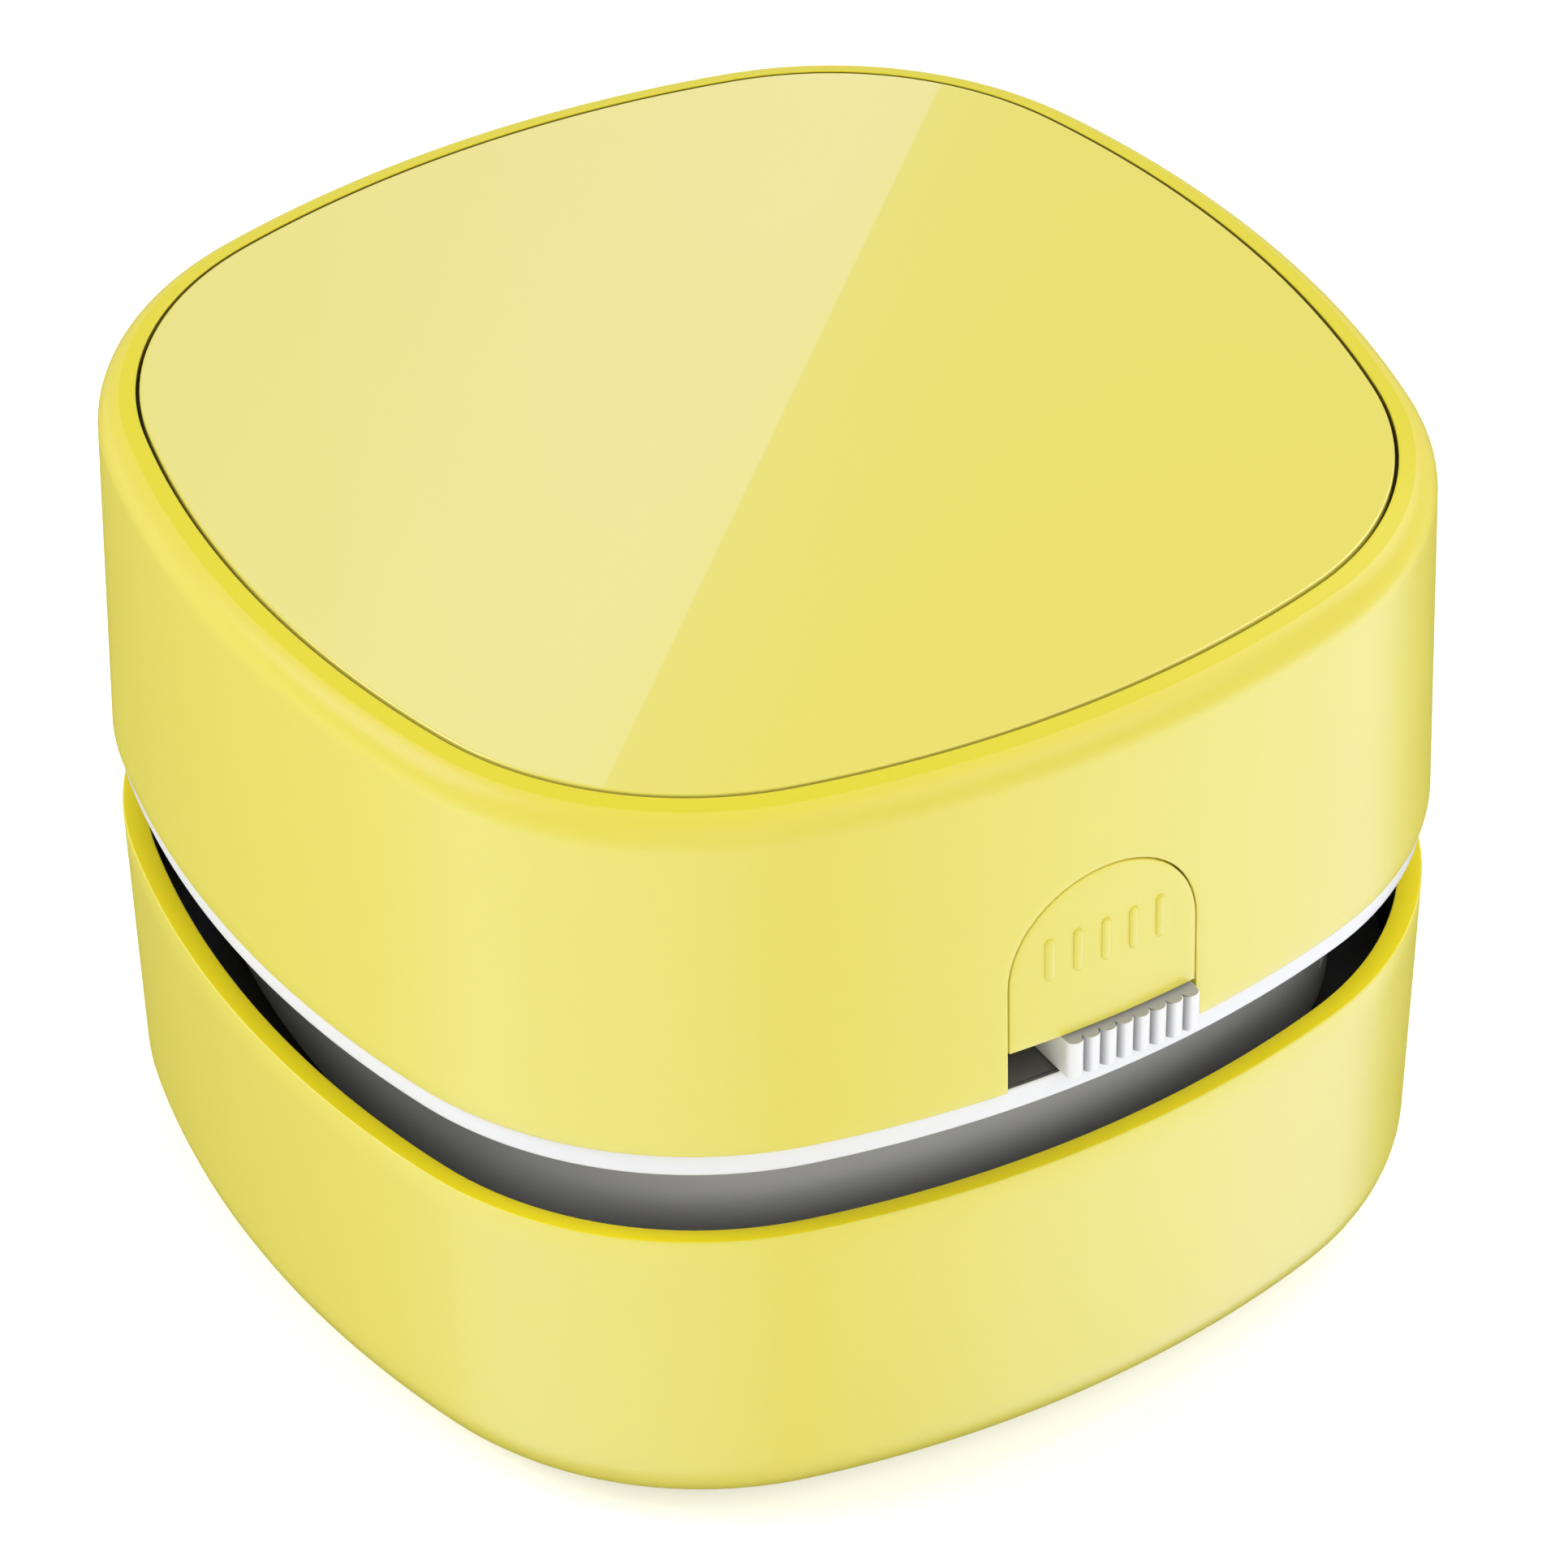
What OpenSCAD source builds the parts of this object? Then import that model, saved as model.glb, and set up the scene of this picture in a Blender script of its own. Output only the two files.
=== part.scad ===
// Desktop mini vacuum cleaner: a dust bin below, a motor core that lifts out of it, and a cover over the cells.
// The housings share one outline: a square with bowed sides and round corners, eight arcs that meet tangent.
// Millimetres, +Z up, front towards -Y, origin on the desk under the middle of the housing.

/* [Housing] */
// Width and depth of the housing at its widest line
body_w = 84; // [82:0.5:92]
// Radius of each bowed side, seen from above
side_r = 80.4; // [74:0.2:100]
// Radius of each corner, seen from above
corner_r = 26.25; // [24:0.25:30]
// Wall thickness of the bin and the cover
wall = 1.7; // [1.5:0.1:1.9]
// Clear height under the bin, made by the glide feet
foot_gap = 0.8; // [0.5:0.1:1.2]
// Height of the dust bin
bin_h = 25.1; // [24:0.1:32]
// Open height of the waist between bin and ring
waist_gap = 5.55; // [5:0.05:8]
// Height of the ring under the cover
ring_h = 1.8; // [1.4:0.05:2]
// Height of the cover, from the ring to its rim
cover_h = 26.85; // [26:0.05:32]
// Radius of the bin's bottom edge
base_round = 5; // [3:0.25:5.5]
// Radius of the cover's shoulder
shoulder_r = 2.4; // [1.6:0.1:2.8]
// How far the walls of the bin and cover lean in over their height
wall_lean = 0.55; // [0.3:0.05:0.8]
// Width of the sloping rim band round the top panel
rim_band = 1.15; // [0.9:0.05:1.6]
// Thickness of the inset top panel
panel_t = 1.2; // [1:0.1:1.5]
// Width of the groove round the top panel and the release tab
groove_w = 0.25; // [0.15:0.05:0.35]

/* [Waist] */
// Depth of the neck behind the housing's outline
neck_in = 6.5; // [6:0.1:7.2]
// Wall thickness of the neck
neck_wall = 1.7; // [1.4:0.1:2]
// Width of each exhaust slot
slot_w = 1.8; // [1.2:0.1:2.2]
// Angle from one exhaust slot to the next
slot_pitch = 6; // [5:0.5:9]
// Angle of the first exhaust slot, measured round the neck from +X
slot_from = -46; // [-60:1:-20]
// Angle of the last exhaust slot
slot_to = 158; // [120:1:165]

/* [Intake and bin] */
// Inside radius of the intake nozzle
nozzle_r = 8.5; // [7:0.25:9]
// Wall thickness of the intake nozzle
nozzle_wall = 1.5; // [1.2:0.1:1.6]
// Height of the nozzle's riser above the desk
riser_top = 9.5; // [8:0.25:10.5]
// Depth of the seal deck's underside below the bin's rim
deck_drop = 10.4; // [9.5:0.1:10.8]
// Height of the filter frame
filter_h = 5; // [4:0.1:5.2]
// Thickness of the bin's floor
floor_t = 2; // [1.8:0.1:2.4]
// Middle radius of the ring of bristles
brush_r = 16.2; // [15.6:0.1:17]
// Number of bristle tufts
tuft_count = 22; // [12:1:24]
// Radius of the filter opening in the seal deck
deck_hole_r = 26; // [25:0.25:27]
// Thickness of the seal deck
deck_t = 1.6; // [1.2:0.1:2]
// Radius of a glide foot
foot_r = 4; // [3.5:0.1:4.5]

/* [Fan and motor] */
// Radius of the impeller
fan_r = 22; // [19:0.5:24]
// Height of the impeller's blades
blade_h = 6.4; // [4:0.1:7.5]
// Number of impeller blades
blade_count = 9; // [6:1:11]
// Radius of the motor can
motor_r = 12; // [11:0.25:12.2]
// Length of the motor can
motor_h = 15; // [13:0.25:16]
// Radius of the motor shaft
shaft_r = 1; // [0.75:0.05:1.25]

/* [Cells] */
// Diameter of an AA cell
cell_d = 14.5; // [13.5:0.1:14.6]
// Length of an AA cell with its button
cell_l = 50.5; // [46:0.1:50.8]
// Distance of each cell's axis from the middle
cell_x = 23.2; // [23:0.1:23.6]

/* [Tab and slider] */
// Width of the arched window
window_w = 14.8; // [13:0.1:16]
// Height of the arch's top above the ring
arch_top = 15.95; // [13.5:0.05:17]
// Height of the tab's lower edge above the ring
tab_low = 3.35; // [3.2:0.05:4]
// How far the tab is pushed in
tab_travel = 1.2; // [0.8:0.1:1.3]
// Width of the power slider
slider_w = 10.4; // [9.6:0.1:11]
// Height of the power slider
slider_h = 2.9; // [2.4:0.05:2.9]
// Travel of the power slider
slider_travel = 3.4; // [2:0.1:3.5]
// Number of grip ribs on the slider
rib_count = 8; // [5:1:10]

/* [Hidden] */
$fn = 64;

// Named clearances
seat_gap = 0.1;    // flat seats between pieces that part
slide_fit = 0.3;   // round a piece that slides
snug_fit = 0.15;   // round a piece that is pressed or glued in
run_fit = 0.05;    // round a turning shaft
sink = 0.4;        // depth by which fused features reach into each other

// Outline: arcs of the bowed sides and corners, with their shared angle
bow_c = body_w / 2 - side_r;
corner_c = (2*bow_c + sqrt(4*pow(bow_c, 2) - 8*(pow(bow_c, 2) - pow(side_r - corner_r, 2)))) / 4;
bow = atan2(corner_c, corner_c - bow_c);
side_steps = 6;
corner_steps = 8;

// Levels, from the desk up
bin_z = foot_gap;
floor_z = bin_z + floor_t;
rim_z = bin_z + bin_h;
ring_z = rim_z + waist_gap;
sill_z = ring_z + ring_h;
cover_z = sill_z + seat_gap;
top_z = cover_z + cover_h;

// Offsets of the walls from the widest outline
bin_rim_d = -0.23;
bin_low_d = bin_rim_d - wall_lean;
ring_d = -0.39;
rim_drop = 0.34;
lip_drop = 0.34;

// Cover: its shoulder is an arc that ends where the rim band starts
shoulder_turn = 69;
shoulder_d = -wall_lean - shoulder_r;
band_d = shoulder_d + shoulder_r*cos(shoulder_turn);
band_z = top_z - rim_drop;
shoulder_z = band_z - shoulder_r*sin(shoulder_turn);
panel_edge_d = band_d - rim_band;
panel_seat_z = top_z - panel_t;
ceiling_z = panel_seat_z - wall;

// Bin: inner wall, seal deck and its posts
inner_low_d = bin_low_d - wall;
inner_rim_d = bin_rim_d - wall;
inner_foot = 3;
deck_z = rim_z - deck_drop;
deck_top = deck_z + deck_t;
deck_d = inner_rim_d - wall_lean*(rim_z - deck_z)/bin_h - slide_fit;
collar_t = 1.2;
collar_h = 1.8;
gasket_t = 0.6;
gasket_lip = 2;
boss_top = floor_z + 2.2;
post_r = 3;
post_at = (corner_c*sqrt(2) + corner_r + bin_low_d - base_round - foot_r - 1.2) / sqrt(2);
foot_recess = 0.5;
foot_seat = bin_z + foot_recess;
screw_r = 1;
screw_head_r = 1.9;
screw_head_h = 1.4;
screw_seat = boss_top - 2;
screw_bite = 7;

// Intake and brush
nozzle_out = nozzle_r + nozzle_wall;
flange_r = nozzle_out + 2.4;
flange_t = 1.2;
tuft_r = 0.8;
tuft_tip = 0.1;
carrier_half = 2.2;
carrier_z = bin_z + 1.4;
carrier_t = 1.6;
brush_boss_r = brush_r + carrier_half + 2;

// Core: chassis, seals and filter
core_z = deck_top + gasket_t + seat_gap;
neck_floor_t = 1.6;
flange_top = core_z + neck_floor_t;
web_t = 0.5;
plate_d = -0.9;
plate_z = ring_z + web_t;
spigot_d = -wall - 0.4;
spigot_wall = 1.1;
spigot_h = 2.4;
neck_d = -neck_in;
neck_rib_t = 1.2;
neck_rib_h = 1.2;
slot_margin = 0.8;
slot_reach = 5;
eye_r = 12;
spigot_ring_t = 1.2;
filter_r = deck_hole_r - 1;
filter_wall = 1.3;
filter_z = core_z - filter_h;
spigot_r = filter_r - filter_wall - snug_fit;
mesh_t = 0.6;
mesh_z = filter_z + filter_wall;
lip_r = filter_r + slide_fit;

// Motor stack
pad_r = motor_r + 1.9;
pad_rise = 1.2;
pad_drop = 1.4;
pad_top = sill_z + pad_rise;
socket_h = 4;
can_z = pad_top;
can_top = can_z + motor_h;
can_wall = 1;
can_floor = 1.2;
cap_t = 2;
cap_plug = 1.4;
nose_r = 3;
nose_h = 1.4;
motor_screw_at = 7.5;
motor_head_h = 1;
magnet_inset = 2;
magnet_split = 5;
rotor_gap = 0.4;
rotor_inset = 3;
rotor_r = motor_r - 3.2;
commutator_r = 3.4;
commutator_h = 3;
terminal_at = 7.5;
terminal_w = 2.4;
terminal_h = 2.6;
terminal_t = 0.5;

// Impeller
fan_z = flange_top + 0.9;
fan_plate_t = 0.9;
fan_top = fan_z + blade_h + fan_plate_t;
hub_r = 3.2;
blade_in = 8;
blade_bend = 16;
blade_t = 0.8;

// Cells and tray
cell_r = cell_d / 2;
tray_z = sill_z;
tray_t = 1.1;
tray_top = tray_z + tray_t;
tray_d = spigot_d - spigot_wall - slide_fit;
cell_z = tray_top + 0.4 + cell_r;
spring_l = 2.4;
contact_t = 0.4;
wire_r = 0.3;
coil_steps = 12;
coil_sides = 6;
bay_half = (cell_l + spring_l + contact_t) / 2;
end_t = 1.4;
saddle_t = 2;
saddle_low = 5;
saddle_at = bay_half*0.62;
end_rise = 4;
spring_plate_r = 4.4;
spring_r0 = 4;
spring_r1 = 1.8;
contact_half = 4;
button_r = 2.6;
button_h = 1.2;

// Tab, its latch and the slider
window_half = window_w / 2;
arch_z = sill_z + arch_top - window_half;
tab_z = sill_z + tab_low;
tab_half = window_half - groove_w;
front = -body_w / 2;
tab_flange_y = front + wall + 0.7;
tab_flange_over = 0.8;
tab_back = tab_flange_y + 1;
guide_in = 6.2;
guide_y = front + guide_in;
guide_t = 1.3;
guide_x = window_half + tab_flange_over + 1.7;
guide_half_h = 3;
pin_r = 1.1;
tab_spring_r = 1.7;
pin_x = 3.9;
pin_z = arch_z + 0.6;
leg_y = guide_y + 2.4;
leg_t = 1.1;
leg_x = 4.2;
leg_w = 2.4;
nose_z = sill_z + 0.9;
hook_out = 0.7;
hook_h = 0.9;
arm_t = 1.2;
lip_out = 0.4;
catch_t = 1.2;
catch_h = 2.1;
catch_y = leg_y - hook_out - catch_t - slide_fit;
slider_z = sill_z + snug_fit;
slider_mid = window_half - slide_fit - slider_w/2;
slider_front = front - 0.8;
slider_back = front + 4;
rib_pitch = slider_w / rib_count;
tongue_w = 2.6;
tongue_h = 1.6;
tongue_z = slider_z + 0.6;
switch_in = 6.3;
switch_y = guide_y + switch_in;
switch_w = 9.5;
switch_t = 4.4;
switch_h = 4.8;
lever_w = 1.8;
notch_half = window_half + 1;

// A point of the outline's first quarter turned to quarter q
function turned(q, p) = q == 0 ? p : q == 1 ? [-p.y, p.x] : q == 2 ? [-p.x, -p.y] : [p.y, -p.x];

// Points of the outline moved outwards by d; each side's arc is followed by a corner's arc
function outline(d) = [for (q = [0:3]) each concat(
    [for (i = [0:side_steps-1]) let (t = -bow + 2*bow*i/side_steps)
        turned(q, [bow_c + (side_r + d)*cos(t), (side_r + d)*sin(t)])],
    [for (i = [0:corner_steps-1]) let (t = bow + (90 - 2*bow)*i/corner_steps)
        turned(q, [corner_c + (corner_r + d)*cos(t), corner_c + (corner_r + d)*sin(t)])])];

// Points [offset, height] along an arc of a wall's profile
function profile_arc(d, z, r, from, to, steps) =
    [for (i = [0:steps]) let (t = from + (to - from)*i/steps) [d + r*cos(t), z + r*sin(t)]];

// Solid lofted through rings of the outline, each [offset, height], with a flat cap at either end
module loft(rings) {
    n = len(outline(0));
    points = [for (ring = rings) each [for (p = outline(ring[0])) [p.x, p.y, ring[1]]]];
    polyhedron(points, skin(n, len(rings)));
}

// Coil spring that winds up +Z from radius r0 to r1, its wire's middle between heights z0 and z1
module coil(r0, r1, z0, z1, turns) {
    steps = turns*coil_steps;
    points = [for (i = [0:steps], b = [0:coil_sides-1]) let (u = i/steps, a = 360*turns*u,
        r = r0 + (r1 - r0)*u + wire_r*cos(360*b/coil_sides))
        [r*cos(a), r*sin(a), z0 + (z1 - z0)*u - wire_r*sin(360*b/coil_sides)]];
    polyhedron(points, skin(coil_sides, steps + 1));
}

// Straight plate of the outline moved by d, from height z0 to z1
module slab(d, z0, z1) {
    translate([0, 0, z0]) linear_extrude(z1 - z0) polygon(outline(d));
}

// Upright wall along the outline: its outer face at offset d, t thick, from height z0 to z1
module outline_wall(d, t, z0, z1) {
    difference() {
        slab(d, z0, z1);
        slab(d - t, z0 - 1, z1 + 1);
    }
}

// Copies at the four corner posts
module at_posts() {
    for (x = [-1, 1], y = [-1, 1]) translate([x*post_at, y*post_at, 0]) children();
}

// Upright disc from height z0 to z1
module disc(r, z0, z1) {
    translate([0, 0, z0]) cylinder(r=r, h=z1 - z0);
}

// Box from one corner to the other
module box(a, b) {
    translate(a) cube(b - a);
}

// Arched prism of the given half width, from height z0 to the arch and from y0 to y1
module arch(half, z0, y0, y1) {
    box([-half, y0, z0], [half, y1, arch_z]);
    intersection() {
        translate([0, y0, arch_z]) rotate([-90, 0, 0]) cylinder(r=half, h=y1 - y0);
        box([-half - 1, y0 - 1, z0], [half + 1, y1 + 1, arch_z + half + 1]);
    }
}

// Faces of a closed skin over count rings of n points each, with a cap on the first ring and the last
function skin(n, count) = concat([[for (i = [0:n-1]) i]],
    [for (j = [0:count-2], i = [0:n-1]) let (a = j*n + i, b = j*n + (i+1) % n)
        each [[a, a + n, b + n], [a, b + n, b]]],
    [[for (i = [0:n-1]) count*n - 1 - i]]);

// Outer profile of the cover's wall
cover_wall = concat([[0, cover_z]],
    profile_arc(shoulder_d, shoulder_z, shoulder_r, 0, shoulder_turn, 4));

module bin_housing() color("khaki") difference() {
    union() {
        loft(concat(profile_arc(bin_low_d - base_round, bin_z + base_round, base_round, -90, 0, 5),
            [[bin_rim_d, rim_z], [inner_rim_d, rim_z - lip_drop],
             [inner_low_d, floor_z + inner_foot], [inner_low_d - inner_foot, floor_z]]));
        disc(brush_boss_r, floor_z - sink, boss_top);
        at_posts() disc(post_r + 0.6, floor_z - sink, boss_top);
    }
    disc(nozzle_out + snug_fit, 0, boss_top + 1);
    difference() {
        disc(brush_r + carrier_half + snug_fit, 0, carrier_z + carrier_t);
        disc(brush_r - carrier_half - snug_fit, -1, boss_top);
    }
    at_posts() {
        disc(foot_r + snug_fit, 0, foot_seat);
        disc(screw_head_r + snug_fit, 0, screw_seat);
        disc(screw_r + snug_fit, 0, boss_top + 1);
    }
}

module seal_deck() color("dimgray") difference() {
    union() {
        slab(deck_d, deck_z, deck_top);
        disc(deck_hole_r + collar_t, deck_z - collar_h, deck_top);
        at_posts() disc(post_r, boss_top, deck_z + sink);
    }
    disc(deck_hole_r, deck_z - collar_h - 1, deck_top + 1);
    at_posts() disc(screw_r + run_fit, boss_top - 1, boss_top + screw_bite);
}

module bin_gasket() color("black") rotate_extrude() polygon([
    [lip_r, deck_z], [deck_hole_r - run_fit, deck_z], [deck_hole_r - run_fit, deck_top],
    [deck_hole_r + gasket_lip, deck_top], [deck_hole_r + gasket_lip, deck_top + gasket_t],
    [lip_r, deck_top + gasket_t]]);

module intake_nozzle() color("dimgray") rotate_extrude() polygon([
    [nozzle_r + 0.7, bin_z + 0.1], [nozzle_out, bin_z + 0.1], [nozzle_out, boss_top], [flange_r, boss_top],
    [flange_r, boss_top + flange_t], [nozzle_out, boss_top + flange_t], [nozzle_out, riser_top],
    [nozzle_r, riser_top], [nozzle_r, bin_z + 1.6]]);

module tuft_ring() {
    for (i = [0:tuft_count-1]) rotate([0, 0, 360*i/tuft_count]) translate([brush_r, 0, 0]) children();
}

module brush_carrier() color("gray") difference() {
    disc(brush_r + carrier_half, carrier_z, carrier_z + carrier_t);
    disc(brush_r - carrier_half, carrier_z - 1, carrier_z + carrier_t + 1);
    tuft_ring() disc(tuft_r + run_fit, carrier_z - 1, carrier_z + 1);
}

module brush_tufts() color("white") tuft_ring() translate([0, 0, tuft_tip])
    cylinder(r=tuft_r, h=carrier_z + 1 - tuft_tip, $fn=24);

// Pan-headed screw with a cross recess; its head's seat is at height 0 and its shank rises
module screw(head_r, head_h, shank_r, length) {
    difference() {
        union() {
            disc(head_r, -head_h, 0);
            disc(shank_r, -sink, length);
        }
        for (turn = [0, 90]) rotate([0, 0, turn])
            box([-head_r*0.6, -0.25, -head_h - 1], [head_r*0.6, 0.25, -head_h*0.45]);
    }
}

module base_screws() color("silver") at_posts() translate([0, 0, screw_seat])
    screw(screw_head_r, screw_head_h, screw_r, boss_top - screw_seat + screw_bite - 0.5);

module glide_feet() color("darkgray") at_posts() rotate_extrude() polygon([
    [0, 0], [foot_r - 0.4, 0], [foot_r, 0.4], [foot_r, foot_seat], [0, foot_seat]]);

module core_chassis() color("dimgray") difference() {
    union() {
        slab(plate_d, plate_z, sill_z);
        outline_wall(neck_d - neck_wall - snug_fit, neck_rib_t, plate_z - neck_rib_h, plate_z + sink);
        difference() {
            outline_wall(spigot_d, spigot_wall, sill_z - sink, sill_z + spigot_h);
            box([-notch_half, front - 1, sill_z], [notch_half, 0, sill_z + spigot_h + 1]);
        }
        disc(pad_r, plate_z - pad_drop, pad_top + socket_h);
        for (side = [-1, 1]) translate([side*(leg_x + leg_w/2), 0, 0]) latch_catch();
    }
    disc(motor_r + snug_fit, pad_top, pad_top + socket_h + 1);
    disc(nose_r + snug_fit, plate_z - pad_drop - 1, pad_top + 1);
    for (side = [-1, 1]) translate([side*motor_screw_at, 0, 0])
        disc(screw_r + snug_fit, plate_z - pad_drop - 1, pad_top + 1);
}

// Catch that the tab's hook sits under: a post with a lip towards the middle
module latch_catch() {
    box([-leg_w/2, catch_y, sill_z - sink], [leg_w/2, catch_y + catch_t - lip_out, nose_z + catch_h]);
    box([-leg_w/2, catch_y, nose_z + hook_h + slide_fit], [leg_w/2, catch_y + catch_t, nose_z + catch_h]);
}

module exhaust_neck() color("dimgray") difference() {
    union() {
        slab(neck_d, core_z, plate_z);
        disc(spigot_r, mesh_z + mesh_t, core_z + sink);
    }
    slab(neck_d - neck_wall, flange_top, plate_z + 1);
    disc(eye_r, core_z - 1, flange_top + 1);
    disc(spigot_r - spigot_ring_t, filter_z, core_z);
    for (turn = [slot_from:slot_pitch:slot_to]) rotate([0, 0, turn])
        box([body_w/2 - neck_in - slot_reach, -slot_w/2, flange_top + slot_margin],
            [body_w/2, slot_w/2, ring_z - slot_margin]);
}

module trim_ring() color("white") difference() {
    slab(ring_d, ring_z, sill_z);
    slab(plate_d + run_fit, plate_z, sill_z + 1);
    slab(neck_d + run_fit, ring_z - 1, sill_z + 1);
}

module filter_frame() color("whitesmoke") difference() {
    disc(filter_r, filter_z, core_z);
    disc(filter_r - filter_wall, mesh_z, core_z + 1);
    disc(filter_r - filter_wall - 1.6, filter_z - 1, core_z);
}

module filter_mesh() color("lightgray") disc(filter_r - filter_wall - run_fit, mesh_z, mesh_z + mesh_t);

module motor_can() color("silver") rotate_extrude() polygon([
    [shaft_r + run_fit, can_z - nose_h], [nose_r, can_z - nose_h], [nose_r, can_z], [motor_r, can_z],
    [motor_r, can_top], [motor_r - can_wall, can_top], [motor_r - can_wall, can_z + can_floor],
    [shaft_r + run_fit, can_z + can_floor]]);

module motor_magnets() color("darkslategray") difference() {
    disc(motor_r - can_wall, can_z + magnet_inset, can_top - magnet_inset);
    disc(rotor_r + rotor_gap, can_z, can_top);
    box([-motor_r, -magnet_split/2, can_z], [motor_r, magnet_split/2, can_top]);
}

module motor_end_cap() color("ivory") difference() {
    union() {
        disc(motor_r, can_top, can_top + cap_t);
        disc(motor_r - can_wall - snug_fit, can_top - cap_plug, can_top + sink);
        disc(nose_r, can_top, can_top + cap_t + 1);
    }
    disc(rotor_r + rotor_gap, can_top - cap_plug - 1, can_top + cap_t/2);
    disc(shaft_r + run_fit, can_top, can_top + cap_t + slide_fit);
}

module motor_terminals() color("goldenrod") for (side = [-1, 1])
    box([side*terminal_at - terminal_w/2, -terminal_t/2, can_top + cap_t],
        [side*terminal_at + terminal_w/2, terminal_t/2, can_top + cap_t + terminal_h]);

module motor_screws() color("silver") for (side = [-1, 1])
    translate([side*motor_screw_at, 0, plate_z - pad_drop])
        screw(screw_head_r, motor_head_h, screw_r, can_z - plate_z + pad_drop);

module battery_tray() color("gray") difference() {
    union() {
        slab(tray_d, tray_z, tray_top);
        for (side = [-1, 1]) {
            for (y = [-saddle_at, 0, saddle_at]) box(
                [side*cell_x - cell_r, y - saddle_t/2, tray_top - sink],
                [side*cell_x + cell_r, y + saddle_t/2, tray_top + saddle_low]);
            for (end = [-1, 1]) box(
                [side*cell_x - cell_r + 1, end*(bay_half + end_t/2) - end_t/2, tray_top - sink],
                [side*cell_x + cell_r - 2, end*(bay_half + end_t/2) + end_t/2, cell_z + end_rise]);
        }
    }
    for (side = [-1, 1]) translate([side*cell_x, -bay_half, cell_z]) rotate([-90, 0, 0])
        cylinder(r=cell_r + snug_fit, h=2*bay_half);
    disc(pad_r + slide_fit, tray_z - 1, tray_top + 1);
    box([-notch_half - 2, front, tray_z - 1], [notch_half + 2, switch_y + switch_t + slide_fit, tray_top + 1]);
}

// AA cell along Y with its button towards +Y, middle of its length at the origin
module aa_cell() {
    rotate([-90, 0, 0]) translate([0, 0, -cell_l/2]) rotate_extrude() polygon([
        [0, 0], [cell_r - 0.5, 0], [cell_r, 0.5], [cell_r, cell_l - button_h - 0.6],
        [cell_r - 0.6, cell_l - button_h], [button_r, cell_l - button_h], [button_r, cell_l], [0, cell_l]]);
}

module battery_left() color("limegreen")
    translate([-cell_x, spring_l/2 - contact_t/2, cell_z]) aa_cell();

module battery_right() color("limegreen")
    translate([cell_x, -spring_l/2 + contact_t/2, cell_z]) rotate([0, 0, 180]) aa_cell();

// Copies at the bays' ends: end 1 is each cell's button end and end -1 its spring end, +Y along the cell
module at_bays() {
    translate([-cell_x, 0, cell_z]) children();
    translate([cell_x, 0, cell_z]) rotate([0, 0, 180]) children();
}

module contact_plates() color("gold") at_bays()
    box([-contact_half, bay_half - contact_t, tray_top - cell_z], [contact_half, bay_half, end_rise]);

module contact_springs() color("gold") at_bays() translate([0, -bay_half, 0]) rotate([-90, 0, 0]) {
    disc(spring_plate_r, 0, contact_t);
    coil(spring_r0, spring_r1, contact_t + wire_r/2, spring_l - wire_r - run_fit, 3);
}

module switch_body() color("dimgray") difference() {
    box([-switch_w/2, switch_y, sill_z], [switch_w/2, switch_y + switch_t, sill_z + switch_h]);
    box([-slider_travel - lever_w/2 + slider_mid - 0.4, switch_y - 1, tongue_z - 0.3],
        [slider_mid + lever_w/2 + 0.4, switch_y + 1.6, tongue_z + tongue_h + 0.3]);
}

module impeller() color("white") difference() {
    union() {
        disc(fan_r, fan_top - fan_plate_t, fan_top);
        disc(hub_r, fan_z, fan_top);
        for (i = [0:blade_count-1]) rotate([0, 0, 360*i/blade_count])
            translate([0, 0, fan_z]) linear_extrude(blade_h + sink) polygon(blade());
    }
    disc(shaft_r, fan_z - 1, fan_top + 1);
}

// Plan of one blade: an arc from the eye to the rim that bends backwards, given its thickness
function blade_point(u, side) = let (r = blade_in + (fan_r - 0.4 - blade_in)*u, t = blade_bend*2*u*u,
    w = side*asin(blade_t/2/r)) [r*cos(t + w), r*sin(t + w)];
function blade() = concat([for (i = [0:6]) blade_point(i/6, 1)], [for (i = [6:-1:0]) blade_point(i/6, -1)]);

module motor_shaft() color("silver") disc(shaft_r, fan_z, can_top + cap_t);

module motor_rotor() color("sienna") difference() {
    union() {
        disc(rotor_r, can_z + rotor_inset, can_top - commutator_h - 1);
        disc(commutator_r, can_top - commutator_h - 1 - sink, can_top - 1);
    }
    disc(shaft_r, can_z, can_top + 1);
}

module slider_thumb() color("white") {
    box([slider_mid - slider_w/2, slider_front + rib_pitch/2, slider_z],
        [slider_mid + slider_w/2, slider_back, slider_z + slider_h]);
    for (i = [0:rib_count-1])
        translate([slider_mid - slider_w/2 + rib_pitch*(i + 0.5), slider_front + rib_pitch/2, slider_z])
            cylinder(r=rib_pitch/2, h=slider_h, $fn=32);
    box([slider_mid - tongue_w/2, slider_back - sink, tongue_z],
        [slider_mid + tongue_w/2, switch_y - slide_fit, tongue_z + tongue_h]);
}

module switch_lever() color("black")
    box([slider_mid - lever_w/2, switch_y - slide_fit, tongue_z + 0.1],
        [slider_mid + lever_w/2, switch_y + 1.3, tongue_z + tongue_h - 0.1]);

module cover_shell() color("khaki") difference() {
    union() {
        loft(concat([[-wall_lean - wall, ceiling_z], [-wall, cover_z]], cover_wall,
            [[panel_edge_d, top_z], [panel_edge_d, panel_seat_z]]));
        for (side = [-1, 1]) box([side*guide_x - 1.2, front + wall - sink, arch_z - guide_half_h],
            [side*guide_x + 1.2, guide_y, arch_z + guide_half_h]);
    }
    arch(window_half, cover_z - 1, front - 1, guide_y);
}

module top_panel() color("khaki") slab(panel_edge_d - groove_w, panel_seat_z, top_z);

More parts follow.
